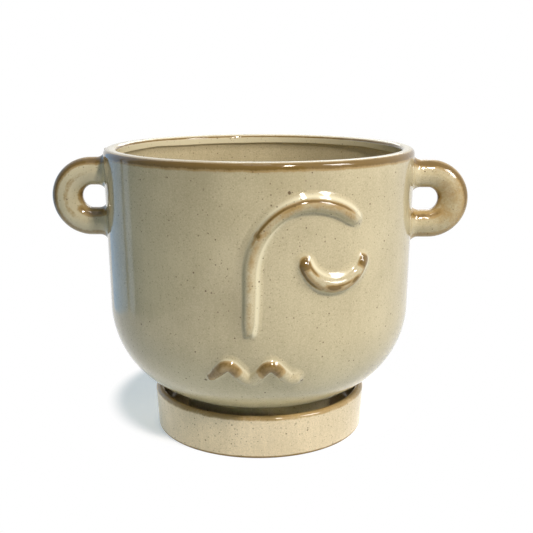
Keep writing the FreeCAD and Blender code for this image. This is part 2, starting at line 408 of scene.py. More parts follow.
class TurnedForm(FormTree):
    """Turns a half section, with X as radius and Z as height, about the upright axis."""

    seam_gap = 0.001 * MM
    lobes = 1.6

    def __init__(self) -> None:
        """Build the tree. Sway lifts and lowers the points that are marked for it, by soft noise."""
        super().__init__("turned_form")
        sheet = self.sheet
        given = sheet.inputs(
            {"Section": "Geometry", "Around": "Int", "Sway": "Float", "Seed": "Float", "Finish": "Material"}
        )
        section = given["Section"]
        count = sheet.add("GeometryNodeAttributeDomainSize", {"Geometry": section}).outputs["Point Count"]
        # The grid is one unit wide about the origin, so half a unit turns its places into shares from 0 to 1.
        half = 0.5
        size = {"Size X": 2 * half, "Size Y": 2 * half, "Vertices X": count}
        grid = sheet.add("GeometryNodeMeshGrid", size)
        sheet.feed(grid.inputs["Vertices Y"], sheet.math("ADD", given["Around"], 1))
        place = sheet.split(self.position())
        along = sheet.math("MULTIPLY", sheet.math("ADD", place["X"], half), sheet.math("SUBTRACT", count, 1))
        row = sheet.math("ROUND", along)
        turn = sheet.math("MULTIPLY", sheet.math("ADD", place["Y"], half), math.tau)
        cosine = sheet.math("COSINE", turn)
        sine = sheet.math("SINE", turn)
        point = sheet.split(self.sampled_value(section, self.position(), row, "FLOAT_VECTOR"))
        noise = sheet.noise(sheet.join(cosine, sine, 0.0), self.lobes, detail=1.0, seed=given["Seed"])
        swing = sheet.swing(noise, given["Sway"])
        lift = sheet.math("MULTIPLY", swing, self.sampled(section, Note.SWAY, row))
        turned = sheet.join(
            sheet.math("MULTIPLY", point["X"], cosine),
            sheet.math("MULTIPLY", point["X"], sine),
            sheet.math("ADD", point["Z"], lift),
        )
        noted = grid.outputs["Mesh"]
        for note in (Note.THIN, Note.THICK, Note.BARE):
            noted = self.store(noted, note, self.sampled(section, note, row))
        inputs = {"Geometry": noted, "Position": turned}
        placed = sheet.add("GeometryNodeSetPosition", inputs).outputs[0]
        inputs = {"Geometry": placed, "Distance": self.seam_gap}
        self.close(sheet.add("GeometryNodeMergeByDistance", inputs).outputs[0], given["Finish"])


class ReliefForm(FormTree):
    """Raises a round coil with pooled glaze along a path drawn flat, with X as reach and Y as height."""

    def __init__(self) -> None:
        """Build the tree. Its points end as reach, height and lift off the wall."""
        super().__init__("relief_coil")
        sheet = self.sheet
        floats = ("Cell", "Spread", "Standoff", "Flatness", "Pool Width", "Upper Pool", "Lower Pool")
        floats += ("Pool Curve", "Skirt", "Sink")
        kinds = {"Path": "Geometry", **{name: "Float" for name in floats}, "Pool Toward": "Vector"}
        kinds |= {"Soften": "Int", "Finish": "Material"}
        given = sheet.inputs(kinds)
        path = given["Path"]
        box = sheet.add("GeometryNodeBoundBox", {"Geometry": path})
        spread = sheet.join(given["Spread"], given["Spread"], 0.0)
        low = sheet.vector("SUBTRACT", box.outputs["Min"], spread)
        high = sheet.vector("ADD", box.outputs["Max"], spread)
        size = sheet.split(sheet.vector("SUBTRACT", high, low))
        grid = sheet.add("GeometryNodeMeshGrid", {"Size X": size["X"], "Size Y": size["Y"]})
        for axis in ("X", "Y"):
            cells = sheet.math("CEIL", sheet.math("DIVIDE", size[axis], given["Cell"]))
            sheet.feed(grid.inputs["Vertices " + axis], sheet.math("ADD", cells, 1))
        middle = sheet.vector("MULTIPLY", sheet.vector("ADD", low, high), (0.5, 0.5, 0.5))
        inputs = {"Geometry": grid.outputs["Mesh"], "Translation": middle}
        sheet_over_path = sheet.add("GeometryNodeTransform", inputs).outputs[0]
        near = sheet.add("GeometryNodeProximity", {"Geometry": path}, target_element="EDGES")
        inputs = {"Geometry": path, "Sample Position": near.outputs["Position"]}
        index = sheet.add("GeometryNodeSampleNearest", inputs).outputs["Index"]
        distance = near.outputs["Distance"]
        radius = self.sampled(path, Note.RADIUS, index)
        foot = sheet.math("ADD", radius, given["Pool Width"])
        tangent = sheet.vector("NORMALIZE", self.sampled(path, Note.TANGENT, index, "FLOAT_VECTOR"))
        aside = sheet.vector("NORMALIZE", sheet.vector("SUBTRACT", self.position(), near.outputs["Position"]))
        side = sheet.split(sheet.vector("CROSS_PRODUCT", tangent, aside))["Z"]
        inputs = {0: aside, 1: given["Pool Toward"]}
        facing = sheet.add("ShaderNodeVectorMath", inputs, operation="DOT_PRODUCT").outputs["Value"]
        pool_height = sheet.span(facing, -1.0, 1.0, given["Lower Pool"], given["Upper Pool"])
        raised = self.profile(distance, radius, pool_height, given)
        inputs = {"Value": raised, "Iterations": given["Soften"]}
        lift = sheet.add("GeometryNodeBlurAttribute", inputs, data_type="FLOAT").outputs[0]
        share = sheet.math("DIVIDE", distance, radius)
        noted = self.store(sheet_over_path, Note.ALONG, self.sampled(path, Note.ALONG, index))
        noted = self.store(noted, Note.ACROSS, sheet.math("MULTIPLY", share, side))
        noted = self.store(noted, Note.CREST, sheet.math("DIVIDE", lift, radius))
        limit = sheet.math("ADD", foot, given["Skirt"])
        inputs = {"Geometry": noted, "Selection": sheet.math("GREATER_THAN", distance, limit)}
        trimmed = sheet.add("GeometryNodeDeleteGeometry", inputs, domain="POINT").outputs[0]
        inputs = {"Geometry": trimmed, "Offset": sheet.join(0.0, 0.0, lift)}
        self.close(sheet.add("GeometryNodeSetPosition", inputs).outputs[0], given["Finish"])

    def profile(
        self, distance: Socket, radius: Socket, pool_height: Socket, given: dict[str, Socket]
    ) -> Socket:
        """Height of the coil's section at a distance from its middle line.

        Args:
            distance: Distance from the path.
            radius: The coil's radius there.
            pool_height: Height of the pooled glaze against the coil.
            given: The tree's inputs.

        Returns:
            The lift off the wall: a round coil, a shallow pool of glaze beside it, then just under the wall.
        """
        math_of = self.sheet.math
        radius_square = math_of("MULTIPLY", radius, radius)
        squares = math_of("SUBTRACT", radius_square, math_of("MULTIPLY", distance, distance))
        chord = math_of("SQRT", math_of("MAXIMUM", squares, 0.0))
        round_height = math_of("MULTIPLY", chord, given["Flatness"])
        coil = math_of("ADD", round_height, given["Standoff"])
        outside = math_of("SUBTRACT", distance, radius)
        share = math_of("SUBTRACT", 1.0, math_of("DIVIDE", outside, given["Pool Width"]))
        kept = math_of("MINIMUM", math_of("MAXIMUM", share, 0.0), 1.0)
        pool = math_of("MULTIPLY", math_of("POWER", kept, given["Pool Curve"]), pool_height)
        beyond = math_of("DIVIDE", math_of("SUBTRACT", outside, given["Pool Width"]), given["Skirt"])
        under = math_of("MULTIPLY", math_of("MINIMUM", beyond, 1.0), given["Sink"])
        raised = self.choose(math_of("LESS_THAN", squares, 0.0), pool, math_of("MAXIMUM", coil, pool))
        return self.choose(math_of("GREATER_THAN", beyond, 0.0), math_of("MULTIPLY", under, -1.0), raised)

    def choose(self, test: Socket, chosen: Socket, other: Socket) -> Socket:
        """One number where a test holds, and another elsewhere."""
        inputs = {"Switch": test, "False": other, "True": chosen}
        return self.sheet.add("GeometryNodeSwitch", inputs, input_type="FLOAT").outputs[0]


@dataclass
class GlazeEffects:
    """Shader node groups that the glazes share. Scales are cells or waves to the metre."""

    speck_least: float = 0.35
    speck_core: float = 0.45
    speck_pale: float = 0.4
    lump_scale: float = 170.0
    lump_share: float = 0.62
    crumb_scale: float = 900.0
    ragged_span: Span = (0.02, 0.25)
    tan_span: Span = (0.08, 0.46)
    brown_span: Span = (0.46, 0.90)
    drift_scale: float = 26.0
    drift_share: float = 0.56
    grain_scale: float = 1500.0
    run_scale: float = 420.0
    run_stretch: Place = (1.0, 1.0, 0.12)
    ripple_scale: float = 95.0
    ripple_runs: float = 0.12
    spot_scale: float = 1400.0
    spot_edge: float = 1.8

    def __post_init__(self) -> None:
        """Build each group once."""
        self.specks = self.make_specks()
        self.thinness = self.make_thinness()
        self.surface = self.make_surface()
        self.spot = self.make_spot()

    @staticmethod
    def start(name: str) -> NodeSheet:
        """An empty shader group."""
        return NodeSheet(bpy.data.node_groups.new(name, "ShaderNodeTree"))

    @staticmethod
    def shared(sheet: NodeSheet, share: float, first: Socket, second: Socket) -> Socket:
        """Sum of a share of one number and the rest of another."""
        rest = sheet.math("MULTIPLY", second, 1.0 - share)
        return sheet.math("ADD", sheet.math("MULTIPLY", first, share), rest)

    def make_specks(self) -> bpy.types.NodeTree:
        """Make the iron specks: a round dot in some of the cells, each with its own size.

        Returns:
            The group, which puts out one mask.
        """
        sheet = self.start("iron_specks")
        given = sheet.inputs({"Vector": "Vector", "Scale": "Float", "Size": "Float", "Share": "Float"})
        inputs = {"Vector": given["Vector"], "Scale": given["Scale"]}
        cells = sheet.add("ShaderNodeTexVoronoi", inputs, voronoi_dimensions="3D", feature="F1")
        chance = sheet.add("ShaderNodeSeparateColor", {"Color": cells.outputs["Color"]}).outputs
        size = sheet.math("MULTIPLY", given["Size"], sheet.math("ADD", chance["Red"], self.speck_least))
        dot = sheet.span(cells.outputs["Distance"], size, sheet.math("MULTIPLY", size, self.speck_core))
        kept = sheet.math("LESS_THAN", chance["Green"], given["Share"])
        spread = sheet.math("MULTIPLY", chance["Blue"], 1.0 - self.speck_pale)
        depth = sheet.math("ADD", spread, self.speck_pale)
        mask = sheet.math("MULTIPLY", sheet.math("MULTIPLY", dot, kept), depth)
        sheet.outputs({"Mask": "Float"}, {"Mask": mask})
        return sheet.tree

    def make_thinness(self) -> bpy.types.NodeTree:
        """Make the break of a thin glaze from cream to tan and brown, with a ragged edge.

        Returns:
            The group, which puts out a mask for each of the two colours.
        """
        sheet = self.start("glaze_thinness")
        given = sheet.inputs({"Vector": "Vector", "Thin": "Float", "Ragged": "Float"})
        lumps = sheet.noise(given["Vector"], self.lump_scale, detail=2.0, seed=3.0)
        crumbs = sheet.noise(given["Vector"], self.crumb_scale, detail=2.0, seed=5.0)
        rough = self.shared(sheet, self.lump_share, lumps, crumbs)
        swing = sheet.swing(rough, given["Ragged"])
        held = sheet.math("MULTIPLY", swing, sheet.span(given["Thin"], *self.ragged_span))
        level = sheet.math("ADD", given["Thin"], held)
        masks = {"Tan": sheet.span(level, *self.tan_span), "Brown": sheet.span(level, *self.brown_span)}
        sheet.outputs({"Tan": "Float", "Brown": "Float"}, masks)
        return sheet.tree

    def make_surface(self) -> bpy.types.NodeTree:
        """Make the slow drift of tone, faint runs down the wall, and the ripple of a fired glaze.

        Returns:
            The group, which puts out a tone and a height.
        """
        sheet = self.start("glaze_surface")
        given = sheet.inputs({"Vector": "Vector", "Seed": "Float", "Runs": "Float"})
        seed = given["Seed"]
        drift = sheet.noise(given["Vector"], self.drift_scale, detail=3.0, seed=seed)
        tall = sheet.vector("MULTIPLY", given["Vector"], self.run_stretch)
        runs = sheet.noise(tall, self.run_scale, detail=2.0, seed=seed)
        grain = sheet.noise(given["Vector"], self.grain_scale, detail=1.0, seed=seed)
        plain = self.shared(sheet, self.drift_share, drift, grain)
        tone = sheet.math("ADD", plain, sheet.swing(runs, given["Runs"]))
        waves = sheet.noise(given["Vector"], self.ripple_scale, detail=2.0, seed=9.0)
        ripple = sheet.math("ADD", waves, sheet.math("MULTIPLY", runs, self.ripple_runs))
        sheet.outputs({"Tone": "Float", "Ripple": "Float"}, {"Tone": tone, "Ripple": ripple})
        return sheet.tree

    def make_spot(self) -> bpy.types.NodeTree:
        """Make one dark kiln spot about a centre.

        Returns:
            The group, which puts out one mask.
        """
        sheet = self.start("kiln_spot")
        given = sheet.inputs({"Vector": "Vector", "Centre": "Vector", "Radius": "Float"})
        away = sheet.distance(given["Vector"], given["Centre"])
        grain = sheet.noise(given["Vector"], self.spot_scale, detail=1.0, seed=2.0)
        reach = sheet.math("ADD", away, sheet.math("MULTIPLY", grain, given["Radius"]))
        edge = sheet.math("MULTIPLY", given["Radius"], self.spot_edge)
        sheet.outputs({"Mask": "Float"}, {"Mask": sheet.span(reach, edge, given["Radius"])})
        return sheet.tree


@dataclass(frozen=True)
class Spot:
    """A dark kiln spot on the glaze."""

    centre: Place
    radius: float


@dataclass(frozen=True)
class Glaze:
    """A glossy stoneware glaze that breaks brown where it lies thin, over a buff clay."""

    name: str
    cream: Colour
    pale: Colour
    # The pooled colour is the paler thick glaze in the pools beside the coils; on the bead's face and the
    # left ear it is painted light.
    pooled: Colour = (0.740, 0.660, 0.450, 1.0)
    tan: Colour = (0.400, 0.270, 0.110, 1.0)
    brown: Colour = (0.185, 0.108, 0.022, 1.0)
    iron: Colour = (0.105, 0.056, 0.021, 1.0)
    clay: Colour = (0.560, 0.430, 0.300, 1.0)
    tone_span: Span = (0.3, 0.7)
    ragged: float = 0.9
    seed: float = 1.0
    runs: float = 0.12
    coarse_scale: float = 390.0
    coarse_size: float = 0.165
    coarse_share: float = 0.85
    fine_scale: float = 780.0
    fine_size: float = 0.27
    fine_share: float = 0.8
    fine_depth: float = 0.45
    speck_depth: float = 0.85
    speck_pit: float = 0.25
    bare_span: Span = (0.35, 0.65)
    gloss_roughness: float = 0.075
    satin_span: Span = (0.2, 0.8)
    satin_rise: float = 1.35
    clay_roughness: float = 0.85
    ripple_strength: float = 0.22
    ripple_depth: float = 0.5 * MM
    spots: tuple[Spot, ...] = ()

    def material(self, effects: GlazeEffects) -> bpy.types.Material:
        """Build the material.

        Args:
            effects: The shared node groups.

        Returns:
            A material with its own node tree.
        """
        made = bpy.data.materials.new(self.name)
        made.use_nodes = True
        sheet = NodeSheet(made.node_tree)
        shader = made.node_tree.nodes["Principled BSDF"]
        place = sheet.add("ShaderNodeTexCoord").outputs["Object"]
        inputs = {"Vector": place, "Seed": self.seed, "Runs": self.runs}
        surface = self.effect(sheet, effects.surface, inputs)
        inputs = {"Vector": place, "Thin": self.note(sheet, Note.THIN), "Ragged": self.ragged}
        breaks = self.effect(sheet, effects.thinness, inputs)
        specks = self.specks(sheet, effects, place)
        bare = sheet.span(self.note(sheet, Note.BARE), *self.bare_span)
        colour = sheet.blend(sheet.span(surface["Tone"], *self.tone_span), self.cream, self.pale)
        # Paler where the glaze pools; the same blend paints light on the bead's face and the left ear.
        colour = sheet.blend(self.note(sheet, Note.THICK), colour, self.pooled)
        colour = sheet.blend(breaks["Tan"], colour, self.tan)
        colour = sheet.blend(breaks["Brown"], colour, self.brown)
        colour = sheet.blend(sheet.math("MULTIPLY", specks, self.speck_depth), colour, self.iron)
        colour = sheet.blend(bare, colour, self.clay)
        sheet.feed(shader.inputs["Base Color"], colour)
        satin_end = self.gloss_roughness * self.satin_rise
        satin = sheet.span(surface["Tone"], *self.satin_span, self.gloss_roughness, satin_end)
        sheet.feed(shader.inputs["Roughness"], sheet.between(bare, satin, self.clay_roughness))
        pits = sheet.math("MULTIPLY", specks, self.speck_pit)
        height = sheet.math("SUBTRACT", surface["Ripple"], pits)
        bump = {"Strength": self.ripple_strength, "Distance": self.ripple_depth, "Height": height}
        sheet.feed(shader.inputs["Normal"], sheet.add("ShaderNodeBump", bump).outputs[0])
        return made

    def specks(self, sheet: NodeSheet, effects: GlazeEffects, place: Socket) -> Socket:
        """Add the coarse and fine specks and the kiln spots.

        Args:
            sheet: The material's nodes.
            effects: The shared node groups.
            place: Place on the piece.

        Returns:
            One mask of them all.
        """
        inputs = {"Scale": self.coarse_scale, "Size": self.coarse_size, "Share": self.coarse_share}
        dark = self.effect(sheet, effects.specks, {"Vector": place, **inputs})["Mask"]
        inputs = {"Scale": self.fine_scale, "Size": self.fine_size, "Share": self.fine_share}
        fine = self.effect(sheet, effects.specks, {"Vector": place, **inputs})["Mask"]
        mask = sheet.math("MAXIMUM", dark, sheet.math("MULTIPLY", fine, self.fine_depth))
        for spot in self.spots:
            inputs = {"Vector": place, "Centre": spot.centre, "Radius": spot.radius}
            mask = sheet.math("MAXIMUM", mask, self.effect(sheet, effects.spot, inputs)["Mask"])
        return mask

    @staticmethod
    def effect(
        sheet: NodeSheet, group: bpy.types.NodeTree, inputs: dict[str, Value]
    ) -> bpy.types.NodeOutputs:
        """Place a shared node group in this material.

        Args:
            sheet: The material's nodes.
            group: The shared group.
            inputs: Socket or plain value for each of its inputs.

        Returns:
            The group's outputs.
        """
        node = sheet.add("ShaderNodeGroup", node_tree=group)
        for name, value in inputs.items():
            sheet.feed(node.inputs[name], value)
        return node.outputs

    @staticmethod
    def note(sheet: NodeSheet, note: Note) -> Socket:
        """One of the piece's own attributes."""
        return sheet.add("ShaderNodeAttribute", attribute_name=note.value).outputs["Fac"]


@dataclass
class Section:
    """Chain of radius and height points that a piece is turned from."""

    points: list[Point] = field(default_factory=list)

    def line(self, end: Point, step: float) -> None:
        """Straight run from the last point.

        Args:
            end: Where the run ends. The first run of a section is its first point alone.
            step: Longest distance from one point to the next.
        """
        if not self.points:
            self.points.append(end)
            return
        start = self.points[-1]
        count = max(math.ceil(math.dist(start, end) / step), 1)
        for index in range(1, count + 1):
            share = index / count
            self.points.append(tuple(a + (b - a) * share for a, b in zip(start, end)))

    def arc(self, centre: Point, radius: float, start: float, end: float, count: int) -> None:
        """Round run, which starts with a straight one from the last point if that lies elsewhere.

        Args:
            centre: Middle of the round.
            radius: Its radius.
            start: First angle in radians, from outwards towards upwards.
            end: Last angle.
            count: How many steps it takes.
        """
        for index in range(count + 1):
            angle = start + (end - start) * index / count
            point = (centre[0] + radius * math.cos(angle), centre[1] + radius * math.sin(angle))
            if not self.points or math.dist(self.points[-1], point) > TurnedForm.seam_gap:
                self.points.append(point)

    def mesh(self, name: str, notes: dict[Note, np.ndarray]) -> bpy.types.Mesh:
        """The section as a chain with its attributes.

        Args:
            name: Name of the mesh.
            notes: A number at each point, for each attribute.

        Returns:
            The chain.
        """
        flat = np.array(self.points)
        chain = chain_mesh(name, np.column_stack([flat[:, 0], np.zeros(len(flat)), flat[:, 1]]))
        for note, values in notes.items():
            set_note(chain, note, values)
        return chain


def hand_over(piece: bpy.types.Object, body: Body, node: str) -> bpy.types.Object:
    """Let a finished piece ride on its body in place of a node.

    Args:
        piece: The piece.
        body: Body that carries it.
        node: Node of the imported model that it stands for.

    Returns:
        The same piece.
    """
    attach(piece, body.value)
    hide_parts(node)
    log.info("%s: %d faces, rides on %s", piece.name, len(piece.data.polygons), body.value)
    return piece


@dataclass
class PotBowl:
    """The turned pot: beaded lip, tapered wall, round shoulder, drain hole and foot ring."""

    height: float = 123.6 * MM
    taper: float = math.tan(math.radians(1.04))
    wall: float = 5.0 * MM
    shoulder_radius: float = 46.7 * MM
    lip_thickness: float = 6.4 * MM
    lip_inner_round: float = 2.0 * MM
    lip_outer_round: float = 2.6 * MM
    bead_height: float = 4.4 * MM
    bead_round: float = 0.5 * MM
    undercut: float = 1.6 * MM
    foot_radius: float = 37.0 * MM
    foot_width: float = 7.0 * MM
    foot_round: float = 1.2 * MM
    foot_fillet: float = 2.5 * MM
    hole_radius: float = 6.5 * MM
    hole_round: float = 1.2 * MM
    lip_turn: float = 1.0 * MM
    brown_band: float = 3.5 * MM
    brown_start: Span = (0.10 * MM, 0.75 * MM)
    brown_fade: float = 1.5 * MM
    inner_line: Band = (1.1 * MM, 0.75 * MM)
    inner_line_tint: float = 0.95
    hole_brown: Span = (2.4 * MM, 0.6 * MM)
    hole_tint: float = 0.8
    bare_foot: float = 1.6 * MM
    bare_fade: float = 0.3 * MM
    foot_brown: Band = (0.6 * MM, 1.8 * MM)
    foot_tint: float = 0.6
    # The bead's face is painted paler: partly a thicker coat of glaze, partly a painted highlight.
    bead_coat_and_highlight: float = 0.95
    bead_coat_and_highlight_fade: float = 1.0 * MM
    bead_sway_fade: float = 3.0 * MM
    crest_sway: float = 0.16
    lip_sway: float = 2.6 * MM
    lip_run: float = 6.0 * MM
    lip_step: float = 0.4 * MM
    bead_step: float = 0.5 * MM
    wall_step: float = 2.5 * MM
    inside_step: float = 3.0 * MM
    foot_step: float = 1.5 * MM
    hole_step: float = 1.0 * MM
    around: int = 240
    seed: float = 4.0

    def __post_init__(self) -> None:
        """Work out the places that the section and the relief share."""
        low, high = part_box("pot_bowl")
        self.rim_height = high.z
        self.foot_height = low.z
        self.lip_radius = self.lip_thickness / 2
        self.rim_radius = (high.x - low.x) / 2 + self.taper * self.lip_radius
        self.bottom = self.rim_height - self.height
        tilt = math.hypot(1.0, self.taper)
        drop = self.height - self.shoulder_radius
        centre_radius = self.rim_radius - self.taper * drop - self.shoulder_radius * tilt
        self.shoulder_centre = (centre_radius, self.bottom + self.shoulder_radius)
        self.tangent_angle = math.atan(self.taper)
        self.tangent_height = self.shoulder_centre[1] - self.shoulder_radius * math.sin(self.tangent_angle)

    def wall_radius(self, height: float) -> float:
        """Outer radius of the straight wall at a height."""
        return self.rim_radius - self.taper * (self.rim_height - height)

    def surface(self, height: np.ndarray) -> tuple[np.ndarray, np.ndarray]:
        """Find the outside of the bowl at each height.

        Args:
            height: Heights above the table.

        Returns:
            The outer radius there, and how far the surface leans down, in radians.
        """
        below = np.maximum(self.shoulder_centre[1] - height, 0.0)
        low = height < self.tangent_height
        chord = np.sqrt(np.maximum(self.shoulder_radius**2 - below**2, 0.0))
        radius = np.where(low, self.shoulder_centre[0] + chord, self.wall_radius(height))
        lean = np.arcsin(np.clip(below / self.shoulder_radius, 0.0, 1.0))
        return radius, np.where(low, lean, self.tangent_angle)

    def wrap(self, flat: np.ndarray) -> np.ndarray:
        """Lay points on the outside of the bowl.

        Args:
            flat: Rows of reach, height and lift off the wall.

        Returns:
            Rows of X, Y and Z.
        """
        reach, height, lift = flat.T
        radius, lean = self.surface(height)
        turn = reach / radius
        out = radius + lift * np.cos(lean)
        return np.column_stack([out * np.sin(turn), -out * np.cos(turn), height - lift * np.sin(lean)])

    def on_wall(self, reach: float, height: float) -> Place:
        """One point of the wall."""
        return tuple(self.wrap(np.array([[reach, height, 0.0]]))[0])

    def section(self) -> Section:
        """Draw the half section, from the drain hole's upper edge over the lip and down to its lower edge.

        Returns:
            The closed section.
        """
        inner_floor = self.bottom + self.wall
        inner_radius = self.shoulder_radius - self.wall
        lip_height = self.rim_height - self.lip_radius
        lip_outer = self.wall_radius(lip_height)
        lip_inner = lip_outer - self.lip_thickness
        lip_end = lip_height - self.lip_run
        inner_turn = (lip_inner + self.lip_inner_round, self.rim_height - self.lip_inner_round)
        outer_turn = (lip_outer - self.lip_outer_round, self.rim_height - self.lip_outer_round)
        bead_turn = (lip_inner + self.bead_round, self.rim_height - self.bead_height)
        groove = bead_turn[1] - self.undercut
        inner_wall = self.wall_radius(groove) - self.wall
        hole = self.hole_radius + self.hole_round
        fillet = self.fillet_centre()
        toward = math.atan2(fillet[1] - self.shoulder_centre[1], fillet[0] - self.shoulder_centre[0])
        section = Section()
        section.arc((hole, inner_floor - self.hole_round), self.hole_round, 2 * QUARTER, QUARTER, count=6)
        section.line((self.shoulder_centre[0], inner_floor), self.inside_step)
        section.arc(self.shoulder_centre, inner_radius, -QUARTER, -self.tangent_angle, count=30)
        section.line((inner_wall, groove), self.inside_step)
        section.arc(bead_turn, self.bead_round, 3 * QUARTER, 2 * QUARTER, count=5)
        section.line((lip_inner, inner_turn[1]), self.bead_step)
        section.arc(inner_turn, self.lip_inner_round, 2 * QUARTER, QUARTER, count=14)
        section.line((outer_turn[0], self.rim_height), self.lip_step)
        section.arc(outer_turn, self.lip_outer_round, QUARTER, 0.0, count=16)
        section.line((self.wall_radius(lip_end), lip_end), self.lip_step)
        section.line((self.wall_radius(self.tangent_height), self.tangent_height), self.wall_step)
        section.arc(self.shoulder_centre, self.shoulder_radius, -self.tangent_angle, toward, count=40)
        section.arc(fillet, self.foot_fillet, toward + 2 * QUARTER, 2 * QUARTER, count=8)
        self.add_foot(section)
        section.arc((hole, self.bottom + self.hole_round), self.hole_round, 3 * QUARTER, 2 * QUARTER, count=6)
        section.line(section.points[0], self.hole_step)
        return section

    def fillet_centre(self) -> Point:
        """Find the middle of the fillet where the foot ring meets the shoulder.

        Returns:
            Its radius and height.
        """
        radius = self.foot_radius + self.foot_fillet
        away = radius - self.shoulder_centre[0]
        reach = self.shoulder_radius + self.foot_fillet
        return (radius, self.shoulder_centre[1] - math.sqrt(reach**2 - away**2))

    def add_foot(self, section: Section) -> None:
        """Carry a section down the foot ring, under it and back up to the underside.

        Args:
            section: The section, which ends where the fillet meets the ring.
        """
        low = self.foot_height + self.foot_round
        inner = self.foot_radius - self.foot_width
        section.line((self.foot_radius, low), self.foot_step)
        section.arc((self.foot_radius - self.foot_round, low), self.foot_round, 0.0, -QUARTER, count=6)
        section.line((inner + self.foot_round, self.foot_height), self.foot_step)
        section.arc((inner + self.foot_round, low), self.foot_round, -QUARTER, -2 * QUARTER, count=6)
        turn = (inner - self.foot_fillet, self.bottom - self.foot_fillet)
        section.line((inner, turn[1]), self.foot_step)
        section.arc(turn, self.foot_fillet, 0.0, QUARTER, count=6)

    def notes(self, section: Section) -> dict[Note, np.ndarray]:
        """Say where the glaze thins and thickens, where the bead's face is painted paler as a highlight,
        where the clay is bare and where the lip wavers.

        Args:
            section: The finished section.

        Returns:
            A number at each of its points, for each attribute.
        """
        radius, height = np.array(section.points).T
        depth = self.rim_height - height
        above_foot = height - self.foot_height
        lip_middle = self.wall_radius(self.rim_height) - self.lip_radius
        outside = ease(lip_middle, lip_middle + self.lip_turn, radius)
        inside = 1.0 - outside
        band = ease(*self.brown_start, depth) * outside
        band *= ease(self.brown_band + self.brown_fade, self.brown_band - self.brown_fade, depth)
        line = hump(*self.inner_line, depth) * inside
        hole = ease(*(self.hole_radius + away for away in self.hole_brown), radius)
        foot = hump(self.bare_foot + self.foot_brown[0], self.foot_brown[1], above_foot)
        bead = ease(self.bead_height + self.bead_sway_fade, self.bead_height, depth)
        bead *= ease(0.0, self.bead_height, depth)
        # Paler face of the bead: thicker glaze and a painted highlight.
        bead_face_and_highlight = ease(self.bead_height + self.bead_coat_and_highlight_fade, self.bead_height, depth) * inside
        crest = self.crest_sway * ease(self.lip_thickness, 0.0, depth)
        browns = [band, self.inner_line_tint * line, self.hole_tint * hole, self.foot_tint * foot]
        return {
            Note.THIN: np.maximum.reduce(browns),
            Note.THICK: self.bead_coat_and_highlight * bead_face_and_highlight,
            Note.BARE: ease(self.bare_foot + self.bare_fade, self.bare_foot - self.bare_fade, above_foot),
            Note.SWAY: np.maximum(bead * inside, crest),
        }

    def build(self, form: TurnedForm, finish: bpy.types.Material) -> bpy.types.Object:
        """Turn the bowl and dress it.

        Args:
            form: The tree that turns a section.
            finish: The bowl's glaze.

        Returns:
            The bowl.
        """
        section = self.section()
        values = {"Around": self.around, "Sway": self.lip_sway, "Seed": self.seed, "Finish": finish}
        bowl = form.grow("glazed_bowl", section.mesh("bowl_section", self.notes(section)), values)
        return hand_over(bowl, Body.POT, "pot_bowl")


